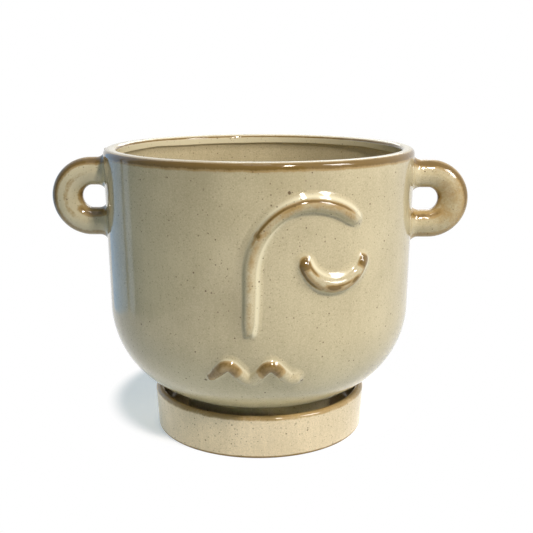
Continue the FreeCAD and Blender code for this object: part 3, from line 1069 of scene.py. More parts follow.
@dataclass
class Saucer:
    """The turned drip saucer: round lip, flat well and a standing ring."""

    wall: float = 4.2 * MM
    floor: float = 5.2 * MM
    flare: float = 1.0 * MM
    recess: float = 1.2 * MM
    standing_width: float = 9.0 * MM
    inner_fillet: float = 4.0 * MM
    base_round: float = 1.6 * MM
    lip_turn: Span = (1.6 * MM, 0.2 * MM)
    brown_band: float = 1.9 * MM
    brown_fade: float = 0.9 * MM
    brown_tint: float = 0.45
    # The brown at the foot of the saucer's wall is partly thin glaze, partly a painted contact shadow where
    # it meets the floor.
    base_brown_and_painted_shadow: Span = (1.9 * MM, 0.8 * MM)
    base_brown_and_painted_shadow_width: float = 9.0 * MM
    bare_base: float = 0.5 * MM
    bare_fade: float = 0.2 * MM
    lip_sway: float = 0.5 * MM
    flat_step: float = 3.0 * MM
    inside_step: float = 1.0 * MM
    outside_step: float = 0.5 * MM
    standing_step: float = 2.0 * MM
    recess_step: float = 0.6 * MM
    around: int = 220
    seed: float = 7.0

    def __post_init__(self) -> None:
        """Take the overall size from the frame."""
        low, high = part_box("saucer")
        self.height = high.z
        self.rim_radius = (high.x - low.x) / 2

    def section(self) -> Section:
        """Draw the half section, from the middle of the well over the lip and round to the middle underneath.

        Returns:
            The section, which starts and ends on the axis.
        """
        lip = self.wall / 2
        inner = self.rim_radius - self.wall
        floor_top = self.recess + self.floor
        base = self.rim_radius - self.flare
        recess_radius = base - self.standing_width
        lip_height = self.height - lip
        turn = (inner - self.inner_fillet, floor_top + self.inner_fillet)
        section = Section()
        section.line((0.0, floor_top), self.flat_step)
        section.line((turn[0], floor_top), self.flat_step)
        section.arc(turn, self.inner_fillet, -QUARTER, 0.0, count=10)
        section.line((inner, lip_height), self.inside_step)
        section.arc((self.rim_radius - lip, lip_height), lip, 2 * QUARTER, 0.0, count=20)
        section.line((base, self.base_round), self.outside_step)
        section.arc((base - self.base_round, self.base_round), self.base_round, 0.0, -QUARTER, count=8)
        section.line((recess_radius + self.recess, 0.0), self.standing_step)
        section.line((recess_radius, self.recess), self.recess_step)
        section.line((0.0, self.recess), self.flat_step)
        return section

    def notes(self, section: Section) -> dict[Note, np.ndarray]:
        """Say where the glaze thins, where the foot of the wall is darkened by brown that is partly a painted
        contact shadow, where the clay is bare and where the lip wavers.

        Args:
            section: The finished section.

        Returns:
            A number at each of its points, for each attribute.
        """
        radius, height = np.array(section.points).T
        depth = self.height - height
        middle = self.rim_radius - self.wall / 2
        outside = ease(*(middle - inward for inward in self.lip_turn), radius)
        band = ease(self.brown_band + self.brown_fade, self.brown_band - self.brown_fade, depth) * outside
        # Brown round the foot of the wall, partly a painted contact shadow.
        ring_inner = self.rim_radius - self.flare - self.standing_width
        standing = ease(ring_inner, self.rim_radius - self.base_brown_and_painted_shadow_width, radius)
        base = ease(*self.base_brown_and_painted_shadow, height) * standing
        return {
            Note.THIN: np.maximum(self.brown_tint * band, base),
            Note.THICK: np.zeros(len(height)),
            Note.BARE: ease(self.bare_base + self.bare_fade, self.bare_base - self.bare_fade, height),
            Note.SWAY: ease(self.wall, 0.0, depth),
        }

    def build(self, form: TurnedForm, finish: bpy.types.Material) -> bpy.types.Object:
        """Turn the saucer and dress it.

        Args:
            form: The tree that turns a section.
            finish: The saucer's glaze.

        Returns:
            The saucer.
        """
        section = self.section()
        values = {"Around": self.around, "Sway": self.lip_sway, "Seed": self.seed, "Finish": finish}
        dish = form.grow("glazed_saucer", section.mesh("saucer_section", self.notes(section)), values)
        return hand_over(dish, Body.SAUCER, "saucer")


@dataclass
class Ear:
    """A C-shaped loop of thick coil, both ends flared into the pooled glaze on the wall.

    Its spans and bands are shares of the section's half width or depth, or of the loop's height.
    """

    name: str
    node: str
    side: Side
    standout: float
    drop: float
    # Film tints the whole ear brown and coat blends it towards the pale pooled colour. The left ear's coat is
    # painted light and the right ear's heavier film is painted shade, on one and the same glaze.
    film_and_painted_shade: float
    coat: float
    loop_radius: float = 12.6 * MM
    coil_width: float = 13.8 * MM
    coil_depth: float = 12.6 * MM
    fullness: float = 2.35
    ridge: float = 0.20
    bend_swell: float = 0.18
    root_fillet: float = 4.4 * MM
    root_depth: float = 1.5 * MM
    section_points: int = 56
    root_steps: int = 8
    limb_steps: int = 4
    bend_steps: int = 36
    front_span: Span = (-0.2, 0.3)
    edge: Band = (0.76, 0.42)
    edge_tint: Swing = (0.44, 0.54)
    edge_top: Span = (-0.8, 0.4)
    back_edge: Span = (0.7, 1.0)
    back_edge_tint: float = 0.4
    # The brown round the hole's edge is partly thin glaze, partly painted shade on the hole's inner surface,
    # most towards the top.
    hole_edge_and_painted_shade: Span = (-0.66, -0.96)
    hole_edge_and_painted_shade_tint: Swing = (0.35, 0.45)
    hole_edge_and_painted_shade_top: Band = (0.3, 0.8)
    patch: Band = (-0.66, 0.40)
    patch_foot: Span = (-0.45, -0.85)
    patch_tint: float = 0.72
    seam: Band = (-0.08, 0.22)
    seam_tint: Swing = (0.16, 0.26)
    film_and_painted_shade_tint: Swing = (0.4, 0.6)

    def outline(self) -> tuple[np.ndarray, np.ndarray]:
        """Draw the coil's section, a full oval with a low ridge along its front.

        Returns:
            Shares of its half width, outwards from the loop, and of its half depth, to the front.
        """
        angle = np.arange(self.section_points) * math.tau / self.section_points
        power = 2.0 / self.fullness
        out = np.sign(np.cos(angle)) * np.abs(np.cos(angle)) ** power
        front = np.sign(np.sin(angle)) * np.abs(np.sin(angle)) ** power
        roof = 1.0 - self.ridge * np.abs(out)
        return out, np.where(front > 0.0, front * roof, front)

    def rings(self, bowl: PotBowl) -> tuple[np.ndarray, np.ndarray]:
        """Rings of points from the upper root round the loop to the lower root.

        Args:
            bowl: The bowl that the ear stands on.

        Returns:
            The rings, and for each ring the angle of the loop there, 90 degrees on the upper limb.
        """
        height = bowl.rim_height - self.drop
        middle = bowl.wall_radius(height) + self.standout - self.coil_width / 2 - self.loop_radius
        out, front = self.outline()
        half_width = self.coil_width / 2
        half_depth = self.coil_depth / 2
        turns = np.linspace(QUARTER, -QUARTER, self.bend_steps + 1)
        bend = []
        for angle in turns:
            swell = np.where(out < 0.0, 1.0 + self.bend_swell * math.cos(angle), 1.0)
            reach = self.loop_radius + out * half_width * swell
            ring = [middle + reach * math.cos(angle), -front * half_depth, height + reach * math.sin(angle)]
            bend.append(np.column_stack(ring))
        upper = self.root(bowl, bend[0], up=1.0)
        lower = self.root(bowl, bend[-1], up=-1.0)[::-1]
        rings = np.array(upper + bend + lower)
        rings[:, :, 0] *= self.side.value
        ends = np.full(len(upper), QUARTER)
        return rings, np.concatenate([ends, turns, -ends])

    def root(self, bowl: PotBowl, limb: np.ndarray, up: float) -> list[np.ndarray]:
        """Rings of one root, from inside the wall out to the limb.

        Args:
            bowl: The bowl that the ear stands on.
            limb: The ring where the limb meets the bend.
            up: 1 for the upper limb and -1 for the lower.

        Returns:
            The rings, the innermost first.
        """
        normal = self.normals(up)
        rings = []
        for step in range(-1, self.root_steps + 1):
            angle = max(step, 0) * QUARTER / self.root_steps
            swell = self.root_fillet * (1.0 - math.sin(angle))
            away = self.root_fillet * (1.0 - math.cos(angle)) if step >= 0 else -self.root_depth
            flat = limb[:, 1:] + normal * swell
            radius = bowl.surface(flat[:, 1])[0] + away
            rings.append(np.column_stack([np.sqrt(radius**2 - flat[:, 0] ** 2), flat]))
        start = rings[-1]
        for step in range(1, self.limb_steps):
            rings.append(start + (limb - start) * step / self.limb_steps)
        return rings

    def normals(self, up: float) -> np.ndarray:
        """Find the outward directions of a limb's section.

        Args:
            up: 1 for the upper limb and -1 for the lower.

        Returns:
            Rows of depth and height, each of length 1.
        """
        out, front = self.outline()
        depth = -front * self.coil_depth / 2
        width = out * self.coil_width / 2 * up
        flat = np.column_stack([depth, width])
        along = np.roll(flat, -1, axis=0) - np.roll(flat, 1, axis=0)
        square = np.column_stack([along[:, 1], -along[:, 0]])
        square /= np.linalg.norm(square, axis=1)[:, None]
        inward = np.sum(square * flat, axis=1) < 0.0
        square[inward] *= -1.0
        return square

    def thinness(self, turns: np.ndarray) -> np.ndarray:
        """Say how thin the glaze lies: along the outer edge, most on top, and round the hole's edge, where
        the brown is partly painted shade on the hole's inner surface.

        Args:
            turns: Angle of the loop at each ring.

        Returns:
            A row of numbers for each ring, from 0 for a full coat to 1 for brown.
        """
        out, front = (share[None, :] for share in self.outline())
        high = np.sin(turns)[:, None]
        bend = np.cos(turns)[:, None]
        fore = ease(*self.front_span, front)
        edge = hump(*self.edge, out) * fore * swung(self.edge_tint, ease(*self.edge_top, high))
        back_edge = self.back_edge_tint * ease(*self.back_edge, out) * (1.0 - fore)
        # Brown inside the hole: thin glaze and painted shade.
        hole_edge_and_painted_shade = ease(*self.hole_edge_and_painted_shade, out) * swung(self.hole_edge_and_painted_shade_tint, hump(*self.hole_edge_and_painted_shade_top, high))
        patch = self.patch_tint * hump(*self.patch, out) * ease(*self.patch_foot, high)
        seam = hump(*self.seam, out) * fore * swung(self.seam_tint, bend)
        # Brown film over the whole ear, heavier on the right ear as painted shade.
        film_and_painted_shade = self.film_and_painted_shade * swung(self.film_and_painted_shade_tint, bend)
        return np.maximum.reduce(np.broadcast_arrays(edge, back_edge, hole_edge_and_painted_shade, patch, seam, film_and_painted_shade))

    def faces(self, count: int) -> list[tuple[int, ...]]:
        """Join the rings by faces, with one more over each end.

        Args:
            count: How many rings there are.

        Returns:
            Rows of point numbers, wound so that the faces look outwards.
        """
        around = self.section_points
        joined = []
        for low in range(0, (count - 1) * around, around):
            high = low + around
            for point in range(around):
                after = (point + 1) % around
                joined.append((low + point, low + after, high + after, high + point))
        first = tuple(range(around))
        last = tuple(range((count - 1) * around, count * around))
        joined += [first[::-1], last]
        if self.side is Side.RIGHT:
            return [face[::-1] for face in joined]
        return joined

    def build(self, bowl: PotBowl, finish: bpy.types.Material) -> bpy.types.Object:
        """Loft the ear and dress it.

        Args:
            bowl: The bowl that the ear stands on.
            finish: The glaze of the relief.

        Returns:
            The ear.
        """
        rings, turns = self.rings(bowl)
        mesh = bpy.data.meshes.new(self.name)
        mesh.from_pydata(rings.reshape(-1, 3).tolist(), [], self.faces(len(rings)))
        mesh.shade_smooth()
        set_note(mesh, Note.THIN, self.thinness(turns).ravel())
        # The coat paints the whole ear paler: painted light.
        set_note(mesh, Note.THICK, np.full(len(mesh.vertices), self.coat))
        mesh.materials.append(finish)
        return hand_over(link_object(self.name, mesh), Body.POT, self.node)


@dataclass
class ReliefCoil(ABC):
    """A coil laid along a path on the wall, with round ends and glaze pooled beside it.

    Its spans and bands are shares of the coil's length, or of its radius across it and off the wall.
    """

    name: str
    node: str
    pool_width: float = 3.0 * MM
    upper_pool: float = 1.9 * MM
    lower_pool: float = 0.15 * MM
    pool_curve: float = 1.35
    pool_bearing: float = math.radians(45.0)
    pool_crest: Span = (0.10, 0.45)
    pool_start: Span = (0.85, 1.15)
    standoff: float = 0.3 * MM
    flatness: float = 1.0
    skirt: float = 1.2 * MM
    sink: float = 0.10 * MM
    cell: float = 0.30 * MM
    soften: int = 5
    path_step: float = 0.25 * MM
    width_samples: int = 50
    back: float = 1.0 * MM

    @abstractmethod
    def length(self) -> float:
        """Length of the coil over its round ends."""

    @abstractmethod
    def place(self, bowl: PotBowl, distance: float) -> Point:
        """Reach and height of the coil's middle line at a distance along it."""

    @abstractmethod
    def width(self, distance: np.ndarray) -> np.ndarray:
        """The coil's width at a distance along it."""

    @abstractmethod
    def thinness(self, along: np.ndarray, across: np.ndarray, crest: np.ndarray) -> np.ndarray:
        """Say how thin the glaze lies.

        Args:
            along: Share of the coil's length.
            across: Signed share of the coil's radius, positive to the left of its direction.
            crest: Lift off the wall, as a share of the radius.

        Returns:
            From 0 for a full coat to 1 where the glaze breaks to brown.
        """

    def thickness(self, across: np.ndarray, crest: np.ndarray) -> np.ndarray:
        """How thick the glaze lies: in the pool beside the coil."""
        return ease(*self.pool_crest, crest) * ease(*self.pool_start, np.abs(across))

    def path(self, bowl: PotBowl) -> bpy.types.Mesh:
        """Draw the coil's middle line flat, between the middles of its round ends.

        Args:
            bowl: The bowl that the coil lies on.

        Returns:
            A chain with the coil's radius, direction and share of its length at each point.
        """
        length = self.length()
        start, end = (float(self.width(np.array(distance))) / 2 for distance in (0.0, length))
        count = math.ceil((length - start - end) / self.path_step)
        distances = np.linspace(start, length - end, count + 1)
        flat = np.array([(*self.place(bowl, distance), 0.0) for distance in distances])
        chain = chain_mesh(self.name + "_path", flat)
        set_note(chain, Note.RADIUS, self.width(distances) / 2)
        set_note(chain, Note.ALONG, distances / length)
        set_note(chain, Note.TANGENT, np.gradient(flat, axis=0))
        return chain

    def build(self, form: ReliefForm, bowl: PotBowl, finish: bpy.types.Material) -> bpy.types.Object:
        """Raise the coil, lay it on the bowl and dress it.

        Args:
            form: The tree that raises a coil.
            bowl: The bowl that the coil lies on.
            finish: The glaze of the relief.

        Returns:
            The coil.
        """
        widest = float(np.max(self.width(np.linspace(0.0, self.length(), self.width_samples)))) / 2
        values = {
            "Cell": self.cell,
            "Spread": widest + self.pool_width + self.skirt,
            "Standoff": self.standoff,
            "Flatness": self.flatness,
            "Pool Width": self.pool_width,
            "Upper Pool": self.upper_pool,
            "Lower Pool": self.lower_pool,
            "Pool Toward": (math.cos(self.pool_bearing), math.sin(self.pool_bearing), 0.0),
            "Pool Curve": self.pool_curve,
            "Soften": self.soften,
            "Skirt": self.skirt,
            "Sink": self.sink,
            "Finish": finish,
        }
        coil = form.grow(self.name, self.path(bowl), values)
        mesh = coil.data
        along, across, crest = (get_note(mesh, note) for note in (Note.ALONG, Note.ACROSS, Note.CREST))
        set_note(mesh, Note.THIN, self.thinness(along, across, crest))
        set_note(mesh, Note.THICK, self.thickness(across, crest))
        set_points(mesh, bowl.wrap(get_points(mesh)))
        thicken = coil.modifiers.new("back", "SOLIDIFY")
        thicken.thickness = self.back
        thicken.offset = -1.0
        return hand_over(coil, Body.POT, self.node)


@dataclass
class BrowNoseCoil(ReliefCoil):
    """Climbs the nose, bends over and runs out along the brow."""

    nose_offset: float = -4.2 * MM
    crest_drop: float = 17.9 * MM
    bend_width: float = 26.4 * MM
    bend_height: float = 31.0 * MM
    brow_radius: float = 31.5 * MM
    brow_sweep: float = math.radians(45.0)
    nose_width: float = 5.0 * MM
    brow_width: float = 6.2 * MM
    foot_run: float = 1.2 * MM
    foot_lean: float = -0.8 * MM
    end_share: float = 0.70
    end_taper: float = 6.0 * MM
    brown_start: Span = (0.36, 0.50)
    brown_end: Span = (0.985, 0.90)
    brown_crest: Span = (0.15, 0.5)
    edge: Band = (0.58, 0.40)
    # The film tints the coil brown and is partly painted shade on its lower face.
    film_and_painted_shade: Band = (-0.1, 1.1)
    film_and_painted_shade_tint: Swing = (0.25, 0.07)
    patch: Band = (0.25, 0.7)
    bend_patch: Band = (0.64, 0.10)
    bend_patch_tint: float = 0.62
    brow_patch: Band = (0.86, 0.07)
    brow_patch_tint: float = 0.55
    nick_and_painted_reflection: Band = (0.45, 0.9)
    nick_and_painted_reflection_place: Band = (0.455, 0.028)
    nick_and_painted_reflection_tint: float = 0.95

    def __post_init__(self) -> None:
        """Take the nose's straight length from the frame."""
        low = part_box("brow_nose_coil")[0]
        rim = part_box("pot_bowl")[1].z
        self.nose_height = rim - self.crest_drop - self.bend_height - low.z + self.foot_run

    def bend_length(self) -> float:
        """Length of the quarter bend, from the mean of its two half axes."""
        return QUARTER * math.sqrt((self.bend_width**2 + self.bend_height**2) / 2)

    def length(self) -> float:
        """Length of the coil over its round ends."""
        return self.nose_height + self.bend_length() + self.brow_radius * self.brow_sweep

    def place(self, bowl: PotBowl, distance: float) -> Point:
        """Go straight up the nose, round the quarter bend, then along the brow's arc.

        Args:
            bowl: The bowl that the coil lies on.
            distance: Distance along the coil from the nose's foot.

        Returns:
            Reach and height of the coil's middle line.
        """
        crest = bowl.rim_height - self.crest_drop
        bend_foot = crest - self.bend_height
        middle = self.nose_offset + self.bend_width
        climbed = distance - self.nose_height
        if climbed <= 0.0:
            lean = self.foot_lean * (climbed / self.nose_height) ** 2
            return (self.nose_offset + lean, bend_foot + climbed)
        bend_length = self.bend_length()
        if climbed <= bend_length:
            angle = QUARTER * (2.0 - climbed / bend_length)
            reach = middle + self.bend_width * math.cos(angle)
            return (reach, bend_foot + self.bend_height * math.sin(angle))
        angle = (climbed - bend_length) / self.brow_radius
        drop = self.brow_radius * (1.0 - math.cos(angle))
        return (middle + self.brow_radius * math.sin(angle), crest - drop)

    def width(self, distance: np.ndarray) -> np.ndarray:
        """Make the coil fuller towards the brow, and draw it in at both ends.

        Args:
            distance: Distance along the coil.

        Returns:
            Its width there.
        """
        swell = np.sin(QUARTER * distance / self.length())
        from_end = np.minimum(distance, self.length() - distance)
        drawn_in = self.end_share + (1.0 - self.end_share) * ease(0.0, self.end_taper, from_end)
        return (self.nose_width + (self.brow_width - self.nose_width) * swell) * drawn_in

    def thinness(self, along: np.ndarray, across: np.ndarray, crest: np.ndarray) -> np.ndarray:
        """Brown the upper edge of the bend and the brow, with two wider patches and a nick where it starts.

        Args:
            along: Share of the coil's length.
            across: Signed share of the coil's radius.
            crest: Lift off the wall, as a share of the radius.

        Returns:
            From 0 for a full coat to 1 where the glaze breaks to brown.
        """
        stretch = ease(*self.brown_start, along) * ease(*self.brown_end, along)
        edge = hump(*self.edge, across) * stretch
        # Brown film across the coil, partly painted shade on its lower face.
        film_and_painted_shade = hump(*self.film_and_painted_shade, across) * swung(self.film_and_painted_shade_tint, stretch)
        places = self.bend_patch_tint * hump(*self.bend_patch, along)
        places += self.brow_patch_tint * hump(*self.brow_patch, along)
        patches = hump(*self.patch, across) * places
        nick_and_painted_reflection = self.nick_and_painted_reflection_tint * hump(*self.nick_and_painted_reflection, across) * hump(*self.nick_and_painted_reflection_place, along)
        return np.maximum.reduce([edge, film_and_painted_shade, patches, nick_and_painted_reflection]) * ease(*self.brown_crest, crest)


@dataclass
class ClosedEyeCoil(ReliefCoil):
    """A crescent, thickest in the middle."""

    offset: float = 34.0 * MM
    centre_drop: float = 38.6 * MM
    radius: float = 15.4 * MM
    start: float = math.radians(193.0)
    end: float = math.radians(342.5)
    middle_width: float = 7.0 * MM
    tip_width: float = 5.0 * MM
    brown_crest: Span = (0.10, 0.45)
    body: Span = (1.10, 0.60)
    left_tip: Span = (0.15, 0.05)
    right_tip: Span = (0.84, 0.94)
    right_tip_tint: float = 0.95
    left_edge: Band = (-0.80, 0.50)
    left_edge_end: Span = (0.46, 0.24)
    left_edge_tint: float = 0.95
    inner_edge: Band = (0.62, 0.40)
    inner_edge_end: Span = (0.30, 0.18)
    inner_edge_tint: float = 0.9
    ridge: Band = (0.08, 0.34)
    ridge_place: Band = (0.58, 0.24)
    patch: Band = (-0.18, 0.58)
    middle_patch: Band = (0.47, 0.15)
    middle_patch_tint: float = 1.55
    right_patch: Band = (0.74, 0.11)
    right_patch_tint: float = 1.25
    # The film browns the coil's lower face: partly brown glaze, partly painted shade.
    film_and_painted_shade: Band = (-0.5, 0.8)
    film_and_painted_shade_tint: float = 0.46

    def length(self) -> float:
        """Length of the coil over its round ends."""
        return self.radius * (self.end - self.start)

    def place(self, bowl: PotBowl, distance: float) -> Point:
        """Go round the crescent's arc from its left tip.

        Args:
            bowl: The bowl that the coil lies on.
            distance: Distance along the coil.

        Returns:
            Reach and height of the coil's middle line.
        """
        angle = self.start + distance / self.radius
        height = bowl.rim_height - self.centre_drop + self.radius * math.sin(angle)
        return (self.offset + self.radius * math.cos(angle), height)

    def width(self, distance: np.ndarray) -> np.ndarray:
        """The coil's width at a distance along it."""
        swell = np.sin(math.pi * distance / self.length())
        return self.tip_width + (self.middle_width - self.tip_width) * swell

    def thinness(self, along: np.ndarray, across: np.ndarray, crest: np.ndarray) -> np.ndarray:
        """Brown both tips, the left edges, the ridge in the middle and two patches under it, and darken the
        lower face with a brown film that is partly painted shade.

        Args:
            along: Share of the coil's length.
            across: Signed share of the coil's radius.
            crest: Lift off the wall, as a share of the radius.

        Returns:
            From 0 for a full coat to 1 and over where the glaze breaks to brown.
        """
        body = ease(*self.body, np.abs(across))
        left_tip = ease(*self.left_tip, along) * body
        right_tip = self.right_tip_tint * ease(*self.right_tip, along) * body
        left_edge = self.left_edge_tint * hump(*self.left_edge, across) * ease(*self.left_edge_end, along)
        inner_edge = self.inner_edge_tint * hump(*self.inner_edge, across) * ease(*self.inner_edge_end, along)
        ridge = hump(*self.ridge, across) * hump(*self.ridge_place, along)
        places = self.middle_patch_tint * hump(*self.middle_patch, along)
        places += self.right_patch_tint * hump(*self.right_patch, along)
        patches = hump(*self.patch, across) * places
        # Brown film on the lower face, partly painted shade.
        film_and_painted_shade = self.film_and_painted_shade_tint * hump(*self.film_and_painted_shade, across)
        brown = np.maximum.reduce([left_tip, right_tip, left_edge, inner_edge, ridge, patches, film_and_painted_shade])
        return brown * ease(*self.brown_crest, crest)


@dataclass
class MouthCoil(ReliefCoil):
    """A wave with two peaks: straight limbs between round knees, and a short tail on the right."""

    offset: float = -23.2 * MM
    low_height: float = 27.4 * MM
    wave_length: float = 18.7 * MM
    rise: float = 7.1 * MM
    tail_length: float = 4.2 * MM
    tail_rise: float = 1.0 * MM
    peaks: int = 2
    coil_width: float = 5.6 * MM
    tip_share: float = 0.62
    tip_length: float = 9.0 * MM
    knee_room: float = 0.4 * MM
    brown_crest: Span = (0.08, 0.35)
    body: Span = (1.10, 0.75)
    peak_brown: Span = (0.45, -0.55)
    peak_tint: float = 0.75
    limb_brown: Span = (1.0, 0.7)
    limb_tint: float = 0.66
    # On the mouth this is a pale gap in the brown at the first peak: a painted reflection.
    nick_and_painted_reflection: Band = (-0.10, 0.60)
    nick_and_painted_reflection_place: Band = (0.90, 0.30)
    nick_and_painted_reflection_tint: float = 0.45

    def __post_init__(self) -> None:
        """Work out the wave's slope and the lengths of its runs."""
        self.half_wave = self.wave_length / 2
        self.knee = self.coil_width / 2 + self.knee_room
        spare = self.rise - 2 * self.knee
        self.slope = math.atan2(spare, self.half_wave)
        self.slope += math.asin(2 * self.knee / math.hypot(self.half_wave, spare))
        self.knee_length = self.knee * self.slope
        self.limb_length = (self.half_wave - 2 * self.knee * math.sin(self.slope)) / math.cos(self.slope)
        self.half_length = 2 * self.knee_length + self.limb_length
        self.wave_end = 2 * self.peaks * self.half_length

    def length(self) -> float:
        """Length of the coil over its round ends."""
        return self.wave_end + self.tail_length

    def climb(self, distance: float) -> Point:
        """Go from a low knee up to the next peak.

        Args:
            distance: Distance along the coil from the knee.

        Returns:
            Forward and upward travel.
        """
        if distance > self.knee_length + self.limb_length:
            forward, upward = self.climb(self.half_length - distance)
            return (self.half_wave - forward, self.rise - upward)
        angle = min(distance / self.knee, self.slope)
        along = max(distance - self.knee_length, 0.0)
        forward = self.knee * math.sin(angle) + along * math.cos(self.slope)
        return (forward, self.knee * (1.0 - math.cos(angle)) + along * math.sin(self.slope))

    def place(self, bowl: PotBowl, distance: float) -> Point:
        """Go up and down the wave, then out along the tail.

        Args:
            bowl: The bowl that the coil lies on.
            distance: Distance along the coil from its left end.

        Returns:
            Reach and height of the coil's middle line.
        """
        low = bowl.bottom + self.low_height
        if distance >= self.wave_end:
            share = (distance - self.wave_end) / self.tail_length
            reach = self.offset + 2 * self.peaks * self.half_wave + share * self.tail_length
            return (reach, low + self.tail_rise * share**2)
        half = int(distance // self.half_length)
        forward, upward = self.climb(distance - half * self.half_length)
        rise = self.rise - upward if half % 2 else upward
        return (self.offset + half * self.half_wave + forward, low + rise)

    def width(self, distance: np.ndarray) -> np.ndarray:
        """The coil's width at a distance along it, drawn out to a thinner tip on the left."""
        filled = ease(0.0, self.tip_length, distance)
        return self.coil_width * (self.tip_share + (1.0 - self.tip_share) * filled)

    def thinness(self, along: np.ndarray, across: np.ndarray, crest: np.ndarray) -> np.ndarray:
        """Brown both peaks, and the first limb down to the left end, but for a pale patch at the first peak
        that is a painted reflection.

        Args:
            along: Share of the coil's length.
            across: Signed share of the coil's radius.
            crest: Lift off the wall, as a share of the radius.

        Returns:
            From 0 for a full coat to 1 where the glaze breaks to brown.
        """
        wave = along * self.length() / self.half_length
        high = np.cos(math.pi * np.clip(wave, 0.0, 2.0 * self.peaks))
        peaks = self.peak_tint * ease(*self.peak_brown, high)
        first = self.limb_tint * ease(*self.limb_brown, wave)
        body = ease(*self.body, np.abs(across))
        # Less brown at the first peak: a painted reflection.
        body -= self.nick_and_painted_reflection_tint * hump(*self.nick_and_painted_reflection_place, wave) * hump(*self.nick_and_painted_reflection, across)
        return np.maximum(peaks, first) * body * ease(*self.brown_crest, crest)


@dataclass
class Lamp:
    """A flat studio lamp, placed by its bearing from the front and its height angle, both in degrees.

    Its size is a width and a height. A mirrored lamp also shows as a reflection in the glaze.
    """

    name: str
    azimuth: float
    elevation: float
    distance: float
    size: Point
    watts: float
    colour: tuple[float, float, float]
    spread: float = math.pi
    mirrored: bool = True

    def hang(self, target: Vector) -> bpy.types.Object:
        """Put the lamp up.

        Args:
            target: Point that it is aimed at.

        Returns:
            The lamp.
        """
        turn = math.radians(self.azimuth)
        rise = math.radians(self.elevation)
        level = math.cos(rise)
        away = Vector((math.sin(turn) * level, -math.cos(turn) * level, math.sin(rise)))
        light = bpy.data.lights.new(self.name, "AREA")
        light.shape = "RECTANGLE"
        light.size, light.size_y = self.size
        light.energy = self.watts
        light.color = self.colour
        light.spread = self.spread
        lamp = link_object(self.name, light)
        lamp.location = target + away * self.distance
        lamp.rotation_euler = away.to_track_quat("Z", "Y").to_euler()
        lamp.visible_camera = False
        lamp.visible_glossy = self.mirrored
        return lamp


@dataclass
class Board:
    """A standing board that shows only as a reflection in the glaze, between two places on the floor."""

    name: str
    start: Point
    end: Point
    colour: Colour
    height: float = 0.72

    def stand(self) -> bpy.types.Object:
        """Put the board up.

        Returns:
            The board.
        """
        paint = bpy.data.materials.new(self.name)
        paint.use_nodes = True
        sheet = NodeSheet(paint.node_tree)
        glow = sheet.add("ShaderNodeEmission", {"Color": self.colour, "Strength": 1.0})
        sheet.feed(paint.node_tree.nodes["Material Output"].inputs["Surface"], glow.outputs[0])
        low = [(*self.start, 0.0), (*self.end, 0.0)]
        high = [(*self.end, self.height), (*self.start, self.height)]
        mesh = bpy.data.meshes.new(self.name)
        mesh.from_pydata(low + high, [], [(0, 1, 2, 3)])
        mesh.materials.append(paint)
        board = link_object(self.name, mesh)
        board.visible_camera = False
        board.visible_diffuse = False
        board.visible_transmission = False
        board.visible_shadow = False
        return board


